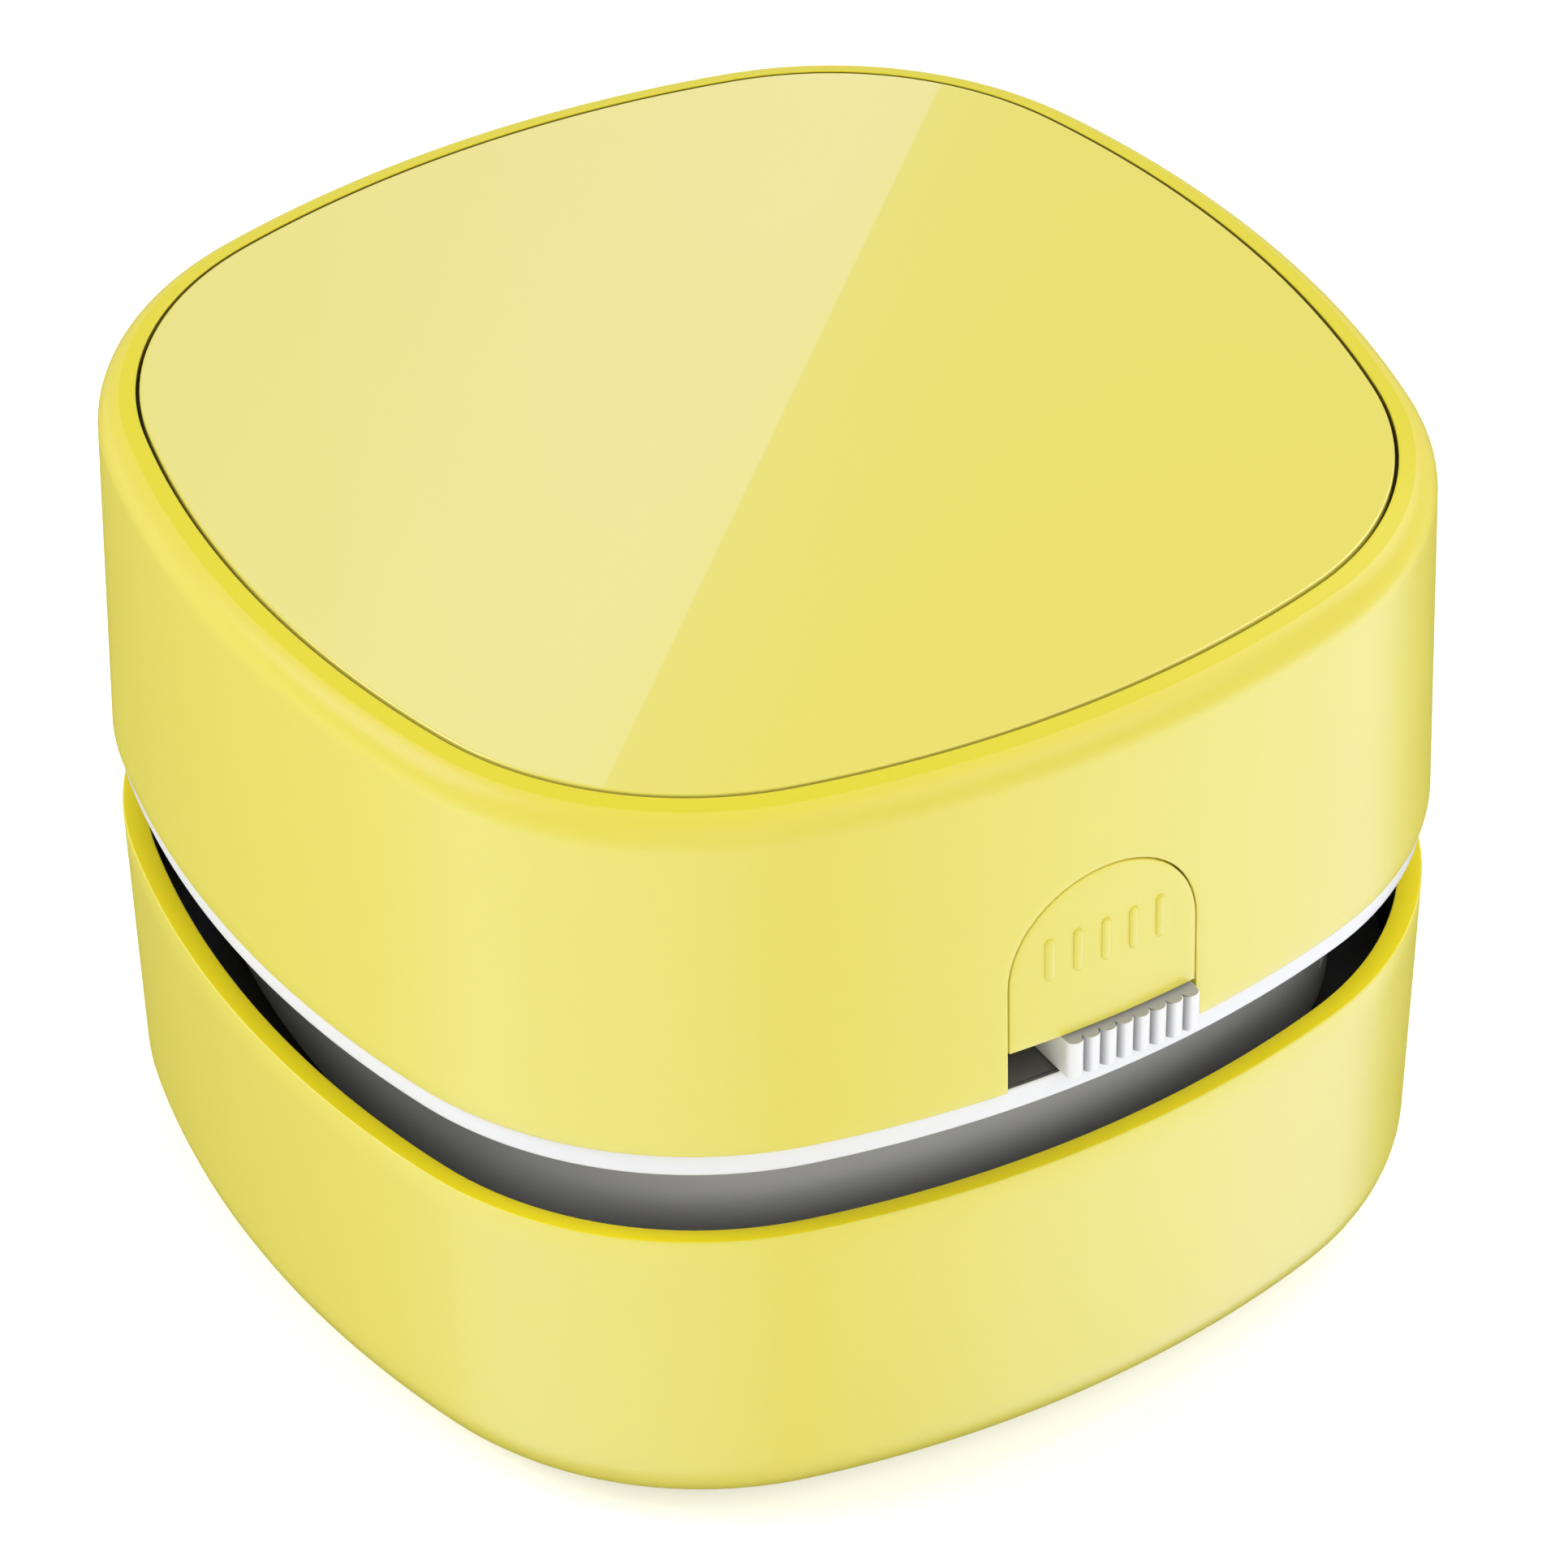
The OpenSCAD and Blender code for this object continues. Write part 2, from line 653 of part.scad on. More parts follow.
module tab_guide() color("gray") difference() {
    box([-guide_x - 1.2, guide_y, arch_z - guide_half_h],
        [guide_x + 1.2, guide_y + guide_t, arch_z + guide_half_h]);
    for (side = [-1, 1]) translate([side*pin_x, guide_y - 1, pin_z]) rotate([-90, 0, 0])
        cylinder(r=pin_r + snug_fit, h=guide_t + 2);
}

module tab_spring() color("silver") translate([0, tab_back, pin_z]) rotate([-90, 0, 0])
    coil(tab_spring_r, tab_spring_r, wire_r + run_fit, guide_y - tab_back - wire_r - run_fit, 3);

module release_tab() color("khaki") {
    intersection() {
        loft([cover_wall[0], cover_wall[1], cover_wall[2]]);
        arch(tab_half, tab_z, front - 1, tab_flange_y + sink);
    }
    arch(window_half + tab_flange_over, tab_z, tab_flange_y, tab_back);
    for (side = [-1, 1]) {
        translate([side*pin_x, tab_back - sink, pin_z]) rotate([-90, 0, 0])
            cylinder(r=pin_r, h=guide_y + guide_t - tab_back + sink - tab_travel*0.2, $fn=32);
        translate([side*(leg_x + leg_w/2), 0, 0]) {
            box([-leg_w/2, tab_back - sink, tab_z], [leg_w/2, leg_y + leg_t, tab_z + arm_t]);
            box([-leg_w/2, leg_y, nose_z], [leg_w/2, leg_y + leg_t, tab_z + arm_t]);
            box([-leg_w/2, leg_y - hook_out, nose_z], [leg_w/2, leg_y + leg_t, nose_z + hook_h]);
        }
    }
}

bin_housing();
seal_deck();
bin_gasket();
intake_nozzle();
brush_carrier();
brush_tufts();
base_screws();
glide_feet();
core_chassis();
exhaust_neck();
trim_ring();
filter_frame();
filter_mesh();
motor_can();
motor_magnets();
motor_end_cap();
motor_terminals();
motor_screws();
battery_tray();
battery_left();
battery_right();
contact_plates();
contact_springs();
switch_body();
impeller();
motor_shaft();
motor_rotor();
slider_thumb();
switch_lever();
cover_shell();
top_panel();
tab_guide();
tab_spring();
release_tab();
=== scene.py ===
"""Looks of the desk vacuum: finished housings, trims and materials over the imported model."""

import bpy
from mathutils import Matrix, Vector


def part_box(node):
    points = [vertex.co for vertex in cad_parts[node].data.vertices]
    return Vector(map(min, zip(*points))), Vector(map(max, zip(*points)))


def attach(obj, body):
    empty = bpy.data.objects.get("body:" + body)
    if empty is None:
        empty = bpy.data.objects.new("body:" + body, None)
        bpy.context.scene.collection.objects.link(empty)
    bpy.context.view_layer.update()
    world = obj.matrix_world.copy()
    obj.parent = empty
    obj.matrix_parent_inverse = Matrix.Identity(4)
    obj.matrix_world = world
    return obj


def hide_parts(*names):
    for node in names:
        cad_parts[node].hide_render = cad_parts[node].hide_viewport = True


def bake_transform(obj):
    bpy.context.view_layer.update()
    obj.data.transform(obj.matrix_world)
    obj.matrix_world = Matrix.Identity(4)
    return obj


bl_info = {
    "name": "Desk Vacuum Looks",
    "version": (1, 0, 0),
    "blender": (4, 5, 0),
    "location": "3D View > Sidebar > Desk Vacuum",
    "description": "Dresses the packed desk vacuum with finished housings, trims, bristles and materials",
    "category": "Add Mesh",
}

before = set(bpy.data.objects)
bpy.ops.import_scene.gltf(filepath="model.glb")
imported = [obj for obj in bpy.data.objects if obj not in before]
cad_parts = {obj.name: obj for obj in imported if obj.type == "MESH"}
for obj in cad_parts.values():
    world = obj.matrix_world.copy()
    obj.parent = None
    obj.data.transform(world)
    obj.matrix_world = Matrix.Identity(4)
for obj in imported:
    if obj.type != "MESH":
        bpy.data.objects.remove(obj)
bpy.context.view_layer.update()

import math

import bmesh
import bpy
import numpy as np
from mathutils import Matrix, Vector

MM = 0.001


def low(node):
    """Lowest corner of a node, in millimetres."""
    return np.array(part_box(node)[0]) / MM


def high(node):
    """Highest corner of a node, in millimetres."""
    return np.array(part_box(node)[1]) / MM


# Housing, in millimetres. The outline is eight arcs that meet tangent: four bowed sides, four corners.
HALF = 42.0
SIDE_R = 80.4
CORNER_R = 26.25
BOW_C = HALF - SIDE_R
CORNER_C = (2 * BOW_C + math.sqrt(4 * BOW_C**2 - 8 * (BOW_C**2 - (SIDE_R - CORNER_R) ** 2))) / 4
BOW = math.degrees(math.atan2(CORNER_C, CORNER_C - BOW_C))

# Heights end in _Z and offsets from the outline in _D.
WALL = 1.7
LEAN = 0.55
BIN_Z = low("bin_housing")[2]
FLOOR_Z = BIN_Z + 2.0
RIM_Z = high("bin_housing")[2]
LIP_DROP = 0.34
# lower end of the black band painted on the bin's inner wall as painted shade
SHADE_BAND_Z = high("seal_deck")[2] - 1.5
RING_Z = low("trim_ring")[2]
PLATE_Z = RING_Z + 0.5
SILL_Z = high("trim_ring")[2]
COVER_Z = low("cover_shell")[2]
TOP_Z = high("cover_shell")[2]
SEAT_Z = low("top_panel")[2]
CEILING_Z = SEAT_Z - WALL
BIN_RIM_D = -0.23
BIN_LOW_D = BIN_RIM_D - LEAN
BASE_ROUND = 5.0
SHOULDER_R = 2.4
SHOULDER_TURN = math.radians(69)
SHOULDER_D = -LEAN - SHOULDER_R
BAND_D = SHOULDER_D + SHOULDER_R * math.cos(SHOULDER_TURN)
BAND_Z = TOP_Z - 0.34
SHOULDER_Z = BAND_Z - SHOULDER_R * math.sin(SHOULDER_TURN)
PANEL_EDGE_D = BAND_D - 1.15
PANEL_GAP = 0.25
RING_D = -0.39
PLATE_D = -0.85
NECK_D = -6.5
NECK_WALL = 1.7
NECK_FLOOR = 1.6
CORE_Z = high("filter_frame")[2]
EYE_R = 12
SLOT_TURNS = np.arange(-46, 158.1, 6.0)
SLOT_HALF = 0.9
SLOT_MARGIN = 0.8

# Floor of the bin: the raised boss, with the nozzle's hole and the brush's channel in its underside
BOSS_R = 20.4
BOSS_TOP = FLOOR_Z + 2.2
NOZZLE_R = 10.15
CHANNEL_R = (13.85, 18.55)
CHANNEL_Z = 3.8
POST_AT = 24.78
POST_R = 3.6
SCREW_R = (4.15, 2.05, 1.15)
SCREW_Z = (BIN_Z + 0.5, 3.0)

# Tab, window and slider
WINDOW_HALF = 7.36
TAB_HALF = 7.22
FLANGE_HALF = 8.2
ARCH_Z = high("release_tab")[2] - FLANGE_HALF
TAB_Z = SILL_Z + 3.35
TAB_FLANGE_Y = -HALF + WALL + 0.7
TAB_BACK = TAB_FLANGE_Y + 1.0
LEG_Y = low("tab_guide")[1] + 2.4
GUIDE_X = 9.9
HOOK_X = 5.4
PIN_X = 3.9
BLOCK_HALF = 1.2
MARK_Z = 43.25
MARK_PITCH = 2.15
MARK_HALF = 1.65
RIBS = 8
RIB_X = low("slider_thumb")[0]
RIB_PITCH = (high("slider_thumb")[0] - RIB_X) / RIBS

# Brush
TUFTS = 22
TUFT_RING = 16.2
TUFT_R = 0.8
PACK_R = 0.66
GOLDEN = 2.39996

# Steps of a quarter turn, and of the fan over the arch
EASE = np.radians([0, 30, 60, 90])
FAN = 28


# ---------------------------------------------------------------- surfaces

def outline(d, normals):
    """Points of the outline moved outwards by d millimetres, given by the angle of their normal.
    A point is its arc's centre plus (radius + d) along the normal, so all offsets share their centres."""
    theta = np.radians(normals)
    side = np.floor((normals + 45.0) / 90.0) * 90.0
    t = normals - side
    corner = np.abs(t) > BOW
    cx = np.where(corner, CORNER_C, BOW_C)
    cy = np.where(corner, CORNER_C * np.sign(t), 0.0)
    radius = np.where(corner, CORNER_R, SIDE_R) + d
    s = np.radians(side)
    return np.column_stack([
        cx * np.cos(s) - cy * np.sin(s) + radius * np.cos(theta),
        cx * np.sin(s) + cy * np.cos(s) + radius * np.sin(theta)])


def round_normals(sizes):
    """Normal angles round the whole outline, from the middle of the front side, evenly along each arc."""
    side = np.linspace(-BOW, BOW, sizes.side_steps + 1)[:-1]
    corner = np.linspace(BOW, 90 - BOW, sizes.corner_steps + 1)[:-1]
    quarter = np.concatenate([side, corner])
    return np.concatenate([quarter + 270 + 90 * q for q in range(4)]) % 360.0


def circle(r, count):
    """Points of a circle of radius r, counter-clockwise."""
    a = np.linspace(0, 2 * np.pi, count, endpoint=False)
    return np.column_stack([r * np.cos(a), r * np.sin(a)])


def on_rays(r, angle):
    """Points of a circle of radius r on rays at the given angles."""
    return np.column_stack([r * np.cos(angle), r * np.sin(angle)])


def rounded_rectangle(half_x, half_y, r, steps=6):
    """Points of a rectangle with corners of radius r, counter-clockwise: quarter arcs about four centres."""
    a = np.linspace(0, np.pi / 2, steps + 1)
    centres = [(1, 1), (-1, 1), (-1, -1), (1, -1)]
    return np.concatenate([on_rays(r, a + k * np.pi / 2) + [sx * (half_x - r), sy * (half_y - r)]
                           for k, (sx, sy) in enumerate(centres)])


def lifted(points, z):
    """Flat points placed at height z."""
    return np.column_stack([points, np.full(len(points), float(z))])


def rings_of(plan, profile):
    """A grid from a plan curve carried along a profile: row k is plan(offset k) at height k."""
    return np.stack([lifted(plan(d), z) for d, z in profile])


def filleted(corners, steps=4):
    """A profile with its corners rounded. Each corner is (offset, height, radius); a radius of 0 stays sharp.
    The arc touches both legs at radius * tan(half the turn) from the corner."""
    out = []
    for i, (x, y, r) in enumerate(corners):
        p = np.array([x, y], float)
        if r <= 0 or i in (0, len(corners) - 1):
            out.append(p[None])
            continue
        a, b = (np.array(corners[k][:2], float) - p for k in (i - 1, i + 1))
        a /= np.linalg.norm(a)
        b /= np.linalg.norm(b)
        half = math.acos(float(np.clip(a @ b, -1, 1))) / 2
        reach = r / math.tan(half)
        centre = p + (a + b) / np.linalg.norm(a + b) * r / math.sin(half)
        start, end = p + a * reach - centre, p + b * reach - centre
        turn = math.atan2(start[0] * end[1] - start[1] * end[0], start @ end)
        t = np.linspace(0, turn, steps + 1)
        out.append(centre + np.column_stack([
            start[0] * np.cos(t) - start[1] * np.sin(t), start[0] * np.sin(t) + start[1] * np.cos(t)]))
    return np.concatenate(out)


def grid_faces(rows, cols, wrap=False, keep=None):
    """Quads between neighbouring rows and columns of a grid whose points are numbered row by row."""
    j, i = np.meshgrid(np.arange(rows - 1), np.arange(cols if wrap else cols - 1), indexing="ij")
    k = (i + 1) % cols
    quads = np.stack([j * cols + i, j * cols + k, (j + 1) * cols + k, (j + 1) * cols + i], -1)
    return (quads if keep is None else quads[keep]).reshape(-1, 4).tolist()


def sheet(points, wrap=False, keep=None, finish=0):
    """A patch (points, faces, finish) from a grid of points shaped rows x columns x 3."""
    rows, cols = points.shape[:2]
    return points.reshape(-1, 3), grid_faces(rows, cols, wrap, keep), finish


def band_between(first, second, wrap=False):
    """A strip of quads between two rows of points."""
    return sheet(np.stack([first, second]), wrap)


def one_face(points):
    """A patch of one face round its points."""
    return points, [list(range(len(points)))], 0


def lid(ring, finish=0, inset=0.06):
    """A flat lid on a ring: a thin flat strip, so that the rounding's shading stops there, and one face inside."""
    centre = ring.mean(0)
    arms = ring - centre
    inner = ring - arms / np.linalg.norm(arms, axis=1)[:, None] * inset
    n = len(ring)
    faces = grid_faces(2, n, True) + [list(range(n, 2 * n))]
    return np.concatenate([ring, inner]), faces, finish


def tower(plan, profile):
    """A solid from a plan curve carried up a profile, closed by a lid at each end."""
    rings = rings_of(plan, profile)
    return [sheet(rings, wrap=True), lid(rings[0]), lid(rings[-1])]


def closed_loop(rings, finish=0):
    """A patch round a closed profile, from its rings: the last row meets the first."""
    return sheet(np.concatenate([rings, rings[:1]]), wrap=True, finish=finish)


def soft_block(lo, hi, r=0.2):
    """A block with rounded edges: a rounded rectangle carried up a profile that draws in by r at both ends."""
    lo, hi = np.array(lo, float), np.array(hi, float)
    half, mid = (hi - lo) / 2, (hi + lo) / 2
    profile = [(-r + r * math.sin(t), lo[2] + r - r * math.cos(t)) for t in EASE]
    profile += [(-r + r * math.cos(t), hi[2] - r + r * math.sin(t)) for t in EASE]
    return tower(lambda d: rounded_rectangle(half[0] + d, half[1] + d, r + 0.02 + d) + mid[:2], profile)


def joined(name, patches):
    """One mesh from patches, with shared borders merged and its faces turned outwards."""
    points, faces, finishes, start = [], [], [], 0
    for p, f, finish in patches:
        points.append(p)
        faces += [[v + start for v in face] for face in f]
        finishes += [finish] * len(f)
        start += len(p)
    mesh = bpy.data.meshes.new(name)
    mesh.from_pydata((np.concatenate(points) * MM).tolist(), [], faces)
    mesh.polygons.foreach_set("material_index", finishes)
    bm = bmesh.new()
    bm.from_mesh(mesh)
    bmesh.ops.delete(bm, geom=[v for v in bm.verts if not v.link_faces], context="VERTS")
    bmesh.ops.remove_doubles(bm, verts=bm.verts, dist=2e-6)
    bmesh.ops.dissolve_degenerate(bm, edges=bm.edges, dist=1e-7)
    bmesh.ops.recalc_face_normals(bm, faces=bm.faces)
    bm.to_mesh(mesh)
    bm.free()
    return mesh


def placed(name, data):
    """A new object in the scene, from a mesh, a light or a camera."""
    obj = bpy.data.objects.new(name, data)
    bpy.context.scene.collection.objects.link(obj)
    return obj


def shade(mesh, sharp=32.0):
    """Smooth shading that breaks at edges sharper than the given angle in degrees."""
    mesh.shade_smooth()
    mesh.set_sharp_from_angle(angle=math.radians(sharp))


def make_piece(name, patches, finishes, body, nodes=(), sharp=32.0):
    """Joins patches into one mesh piece and hands it to the frame. A piece that crosses a joint has no body here."""
    mesh = joined(name, patches)
    for finish in finishes:
        mesh.materials.append(material(finish))
    obj = placed(name, mesh)
    shade(mesh, sharp)
    if nodes:
        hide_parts(*nodes)
    if body:
        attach(obj, body)
    return obj


def carve(obj, patches):
    """Cuts the patches' solid out of a piece, then applies the cut."""
    cutter = placed("cutter", joined("cutter", patches))
    cut = obj.modifiers.new("carve", "BOOLEAN")
    cut.operation, cut.solver, cut.object = "DIFFERENCE", "EXACT", cutter
    bpy.context.view_layer.update()
    done = bpy.data.meshes.new_from_object(obj.evaluated_get(bpy.context.evaluated_depsgraph_get()))
    obj.modifiers.clear()
    obj.data = done
    bpy.data.objects.remove(cutter)


# ---------------------------------------------------------------- arched window and tab

def arch_line(half, reach, rows):
    """The arched outline moved outwards by reach, as (x, z): up the left side, over the arch, down the right.
    The sides stand at half + reach, and the arch is a half circle of that radius."""
    r = half + reach
    a = np.linspace(np.pi, 0, FAN + 1)[1:-1]
    up = np.column_stack([np.full(len(rows), -r), rows])
    down = np.column_stack([np.full(len(rows), r), rows[::-1]])
    return np.concatenate([up, on_rays(r, a) + [0, ARCH_Z], down])


def wall_offset(z):
    """Offset of the cover's outer wall at height z: it leans in evenly from its foot to the shoulder."""
    return -LEAN * (z - COVER_Z) / (SHOULDER_Z - COVER_Z)


def inner_offset(z):
    """Offset of the cover's inner wall at height z."""
    return -WALL - LEAN * (z - COVER_Z) / (CEILING_Z - COVER_Z)


def front_face(x, z, offset):
    """The y of a front wall at x and z: the bowed side's arc about its centre, moved by offset(z)."""
    r = SIDE_R + offset(z)
    return -BOW_C - np.sqrt(r**2 - x**2)


def eased_foot(z, foot, r):
    """How far a lower edge rounded by r draws in at height z above its foot."""
    dip = np.clip(r - (z - foot), 0, r)
    return r - np.sqrt(np.maximum(r * r - dip * dip, 0))


def windowed_wall(offset, reach, top, low_rows, high_rows, theta):
    """A wall of the cover with the arched window left open, as a grid of rows and columns.
    Columns in the window stand at fixed x; above it their rows are stretched from the arch to the top."""
    r = WINDOW_HALF + reach
    x = r * np.cos(np.linspace(np.pi, 0, FAN + 1))
    z = np.concatenate([low_rows, high_rows[1:]])
    spring = len(low_rows) - 1
    share = np.clip((z - ARCH_Z) / (top - ARCH_Z), 0, 1)[:, None]
    start = ARCH_Z + np.sqrt(np.maximum(r**2 - x**2, 0))[None]
    zw = np.where(np.arange(len(z))[:, None] < spring, z[:, None], start + share * (top - start))
    xw = np.broadcast_to(x, zw.shape)
    window = np.stack([xw, front_face(xw, zw, offset), zw], -1)
    rest = rings_of(lambda d: outline(d, theta), [(offset(h), h) for h in z])
    points = np.concatenate([window, rest], 1)
    keep = np.ones((len(z) - 1, points.shape[1]), bool)
    keep[:spring, :FAN] = False
    return points, keep


def arch_patch(half, rows, depths, face):
    """Front of an arched block as a grid: arched lines moved inwards step by step until they close on the
    middle. face(x, z, depth) gives the points; each line's own depth rounds the edge."""
    return np.stack([face(*arch_line(half, -inward, rows).T, depth) for inward, depth in depths])


# ---------------------------------------------------------------- shader nodes and shared groups

def put(tree, socket, value):
    """Gives a socket its value: linked if the value is a socket, set if it is plain."""
    if isinstance(value, bpy.types.NodeSocket):
        tree.links.new(value, socket)
    else:
        socket.default_value = value


def put_all(tree, node, values):
    """Gives a node's named input sockets their values."""
    for key, value in values.items():
        put(tree, node.inputs[key], value)


def add(tree, kind, *inputs, **values):
    """A node with its first inputs in order, and its properties and further inputs by name."""
    node = tree.nodes.new(kind)
    for key, value in values.items():
        if key in node.bl_rna.properties:
            setattr(node, key, value)
        else:
            put(tree, node.inputs[key], value)
    for socket, value in zip(node.inputs, inputs):
        put(tree, socket, value)
    return node


def maths(tree, operation, a, b=0.0, clamp=False):
    """One Math node's result."""
    return add(tree, "ShaderNodeMath", a, b, operation=operation, use_clamp=clamp).outputs[0]


def times(tree, a, b):
    """Product of two values."""
    return maths(tree, "MULTIPLY", a, b)


def plus(tree, a, b, clamp=False):
    """Sum of two values."""
    return maths(tree, "ADD", a, b, clamp)


def less(tree, a, b):
    """The first value less the second."""
    return maths(tree, "SUBTRACT", a, b)


def ramped(tree, value, low_in, high_in, low_out=0.0, high_out=1.0, way="SMOOTHSTEP"):
    """A value carried from one range to another, and held at both ends."""
    return add(tree, "ShaderNodeMapRange", value, low_in, high_in, low_out, high_out,
               interpolation_type=way).outputs[0]


def mixed(tree, share, a, b):
    """A colour that goes from a to b with the share; each is a socket or three numbers."""
    mix = add(tree, "ShaderNodeMix", share, data_type="RGBA")
    for socket, colour in ((mix.inputs[6], a), (mix.inputs[7], b)):
        put(tree, socket, colour if isinstance(colour, bpy.types.NodeSocket) else (*colour, 1))
    return mix.outputs[2]


def tinted(tree, tone, dark, light):
    """A base colour that moves a little between two tints with the tone."""
    return mixed(tree, ramped(tree, tone, 0.35, 0.75), dark, light)


def noise(tree, where, scale, **values):
    """A noise texture's value."""
    return add(tree, "ShaderNodeTexNoise", Vector=where, Scale=scale, **values).outputs["Fac"]


def object_place(tree):
    """Object coordinates."""
    return tree.nodes.new("ShaderNodeTexCoord").outputs["Object"]


def axes(tree, where):
    """The x, y and z of a vector."""
    return add(tree, "ShaderNodeSeparateXYZ", Vector=where).outputs


def plan_length(tree, x, y):
    """Distance from the upright axis."""
    return maths(tree, "SQRT", plus(tree, times(tree, x, x), times(tree, y, y)))


def pool(tree, x, y, length, towards, spread):
    """A soft pool of light round a direction in plan, by the cosine of the angle to it; angles in degrees."""
    a = math.radians(towards)
    ahead = plus(tree, times(tree, x, math.cos(a)), times(tree, y, math.sin(a)))
    return ramped(tree, maths(tree, "DIVIDE", ahead, length), math.cos(math.radians(spread)), 1.0)


def new_group(name, inputs, outputs):
    """An empty shader node group with float inputs {name: default} and float outputs."""
    group = bpy.data.node_groups.new(name, "ShaderNodeTree")
    for label, value in inputs.items():
        socket = group.interface.new_socket(label, in_out="INPUT", socket_type="NodeSocketFloat")
        socket.default_value = value
    for label in outputs:
        group.interface.new_socket(label, in_out="OUTPUT", socket_type="NodeSocketFloat")
    return group, group.nodes.new("NodeGroupInput").outputs, group.nodes.new("NodeGroupOutput")


def group_moulded():
    """Moulded plastic: fine spark-eroded grain, slow waviness of the mould and handling marks."""
    g, given, out = new_group(
        "moulded plastic", {"Grain size mm": 0.25, "Grain": 0.5, "Roughness": 0.3, "Handling": 0.3},
        ["Height", "Roughness", "Tone"])
    where = object_place(g)
    fine = noise(g, where, maths(g, "DIVIDE", 1000.0, given["Grain size mm"]), Detail=2.0, Roughness=0.6)
    wave = noise(g, where, 42.0, Detail=1.0)
    marks = ramped(g, noise(g, where, 85.0, Detail=5.0, Roughness=0.62, Distortion=0.4), 0.48, 0.72)
    rough = plus(g, given["Roughness"], times(g, marks, times(g, given["Handling"], 0.16)))
    put_all(g, out, {
        "Height": times(g, fine, given["Grain"]),
        "Roughness": plus(g, rough, times(g, less(g, fine, 0.5), 0.06), clamp=True),
        "Tone": maths(g, "MULTIPLY_ADD", plus(g, wave, times(g, marks, 0.35)), 0.5)})
    return g


def group_drawn():
    """Drawn, turned or rolled metal: fine streaks along one axis, with faint stains."""
    g, given, out = new_group(
        "drawn metal", {"Along X": 1.0, "Along Y": 1.0, "Along Z": 1.0, "Roughness": 0.3},
        ["Height", "Roughness", "Tone"])
    where = object_place(g)
    stretch = add(g, "ShaderNodeCombineXYZ", *(given["Along " + axis] for axis in "XYZ")).outputs[0]
    along = add(g, "ShaderNodeVectorMath", where, stretch, operation="MULTIPLY").outputs[0]
    streak = noise(g, along, 5200.0, Detail=3.0, Roughness=0.7)
    stain = noise(g, where, 240.0, Detail=4.0)
    rough = plus(g, given["Roughness"], times(g, less(g, streak, 0.5), 0.3))
    put_all(g, out, {
        "Height": streak,
        "Roughness": plus(g, rough, times(g, ramped(g, stain, 0.45, 0.75), 0.12), clamp=True),
        "Tone": plus(g, times(g, streak, 0.6), times(g, stain, 0.4))})
    return g


def group_weave():
    """Plain woven mesh: threads in two directions, from the larger of two rectified sine waves."""
    g, given, out = new_group("woven mesh", {"Threads per mm": 3.0}, ["Height", "Holes"])
    x, y, _ = axes(g, object_place(g))
    per = times(g, given["Threads per mm"], 1000.0 * math.pi)
    wx, wy = (maths(g, "ABSOLUTE", maths(g, "SINE", times(g, v, per))) for v in (x, y))
    threads = maths(g, "MAXIMUM", wx, wy)
    put_all(g, out, {"Height": threads, "Holes": ramped(g, threads, 0.35, 0.7, 1.0, 0.0)})
    return g


BUILDERS = {"moulded": group_moulded, "drawn": group_drawn, "weave": group_weave}
GROUPS = {}


def shared(tree, key, values):
    """Places the shared node group of that name, which is built once, with its own values."""
    if key not in GROUPS:
        GROUPS[key] = BUILDERS[key]()
    node = add(tree, "ShaderNodeGroup", node_tree=GROUPS[key])
    put_all(tree, node, values)
    return node.outputs


# ---------------------------------------------------------------- materials

def new_material(name):
    """A new material: itself, its node tree and its Principled shader."""
    m = bpy.data.materials.new(name)
    m.use_nodes = True
    return m, m.node_tree, m.node_tree.nodes["Principled BSDF"]


def relief(tree, height, strength, distance):
    """A bumped normal from a height; the distance is in millimetres."""
    return add(tree, "ShaderNodeBump", Strength=strength, Distance=distance * MM, Height=height).outputs[0]


def plastic(name, colour, roughness, grain=0.3, bump=0.004, handling=0.1, coat=0.0, coat_rough=0.05,
            vary=0.04, painted_shading=None, ribs=None, ior=1.5, tint=(1.0, 1.0, 1.0)):
    """Moulded plastic. With the painted shading (colour, from z, to z) the colour turns to another one between two
    heights, as painted light and shade, and with a direction in plan and its spread added, most strongly on that
    side.
    With ribs = (colour, first x, pitch) that colour is painted into the grooves between upright ribs, as painted
    shade."""
    m, t, p = new_material(name)
    g = shared(t, "moulded", {"Grain size mm": grain, "Roughness": roughness, "Handling": handling})
    colour = np.array(colour)
    base = tinted(t, g["Tone"], colour * (1 - vary), np.minimum(colour * (1 + vary * 0.4), 1))
    # painted light and shade: a lighter or deeper colour by height, and by side in plan
    if painted_shading:
        strong, z0, z1, *side = painted_shading
        x, y, z = axes(t, object_place(t))
        share = ramped(t, z, z0 * MM, z1 * MM)
        if side:
            share = times(t, share, pool(t, x, y, plan_length(t, x, y), *side))
        base = mixed(t, share, base, tinted(t, g["Tone"], np.array(strong) * (1 - vary), strong))
    # painted shade: the grooves between the ribs take a grey colour
    if ribs:
        groove_shade_colour, x0, pitch = ribs
        across = maths(t, "DIVIDE", less(t, axes(t, object_place(t))[0], x0 * MM), pitch * MM)
        groove = ramped(t, maths(t, "FRACT", across), 0.0, 0.42, 1.0, 0.0)
        base = mixed(t, times(t, groove, ramped(t, across, 0.4, 0.6)), base, groove_shade_colour)
    put_all(t, p, {"Base Color": base, "Roughness": g["Roughness"], "Normal": relief(t, g["Height"], 0.35, bump),
                   "IOR": ior, "Specular Tint": (*tint, 1.0)})
    if coat:
        put_all(t, p, {"Coat Weight": coat, "Coat Roughness": coat_rough})
    return m


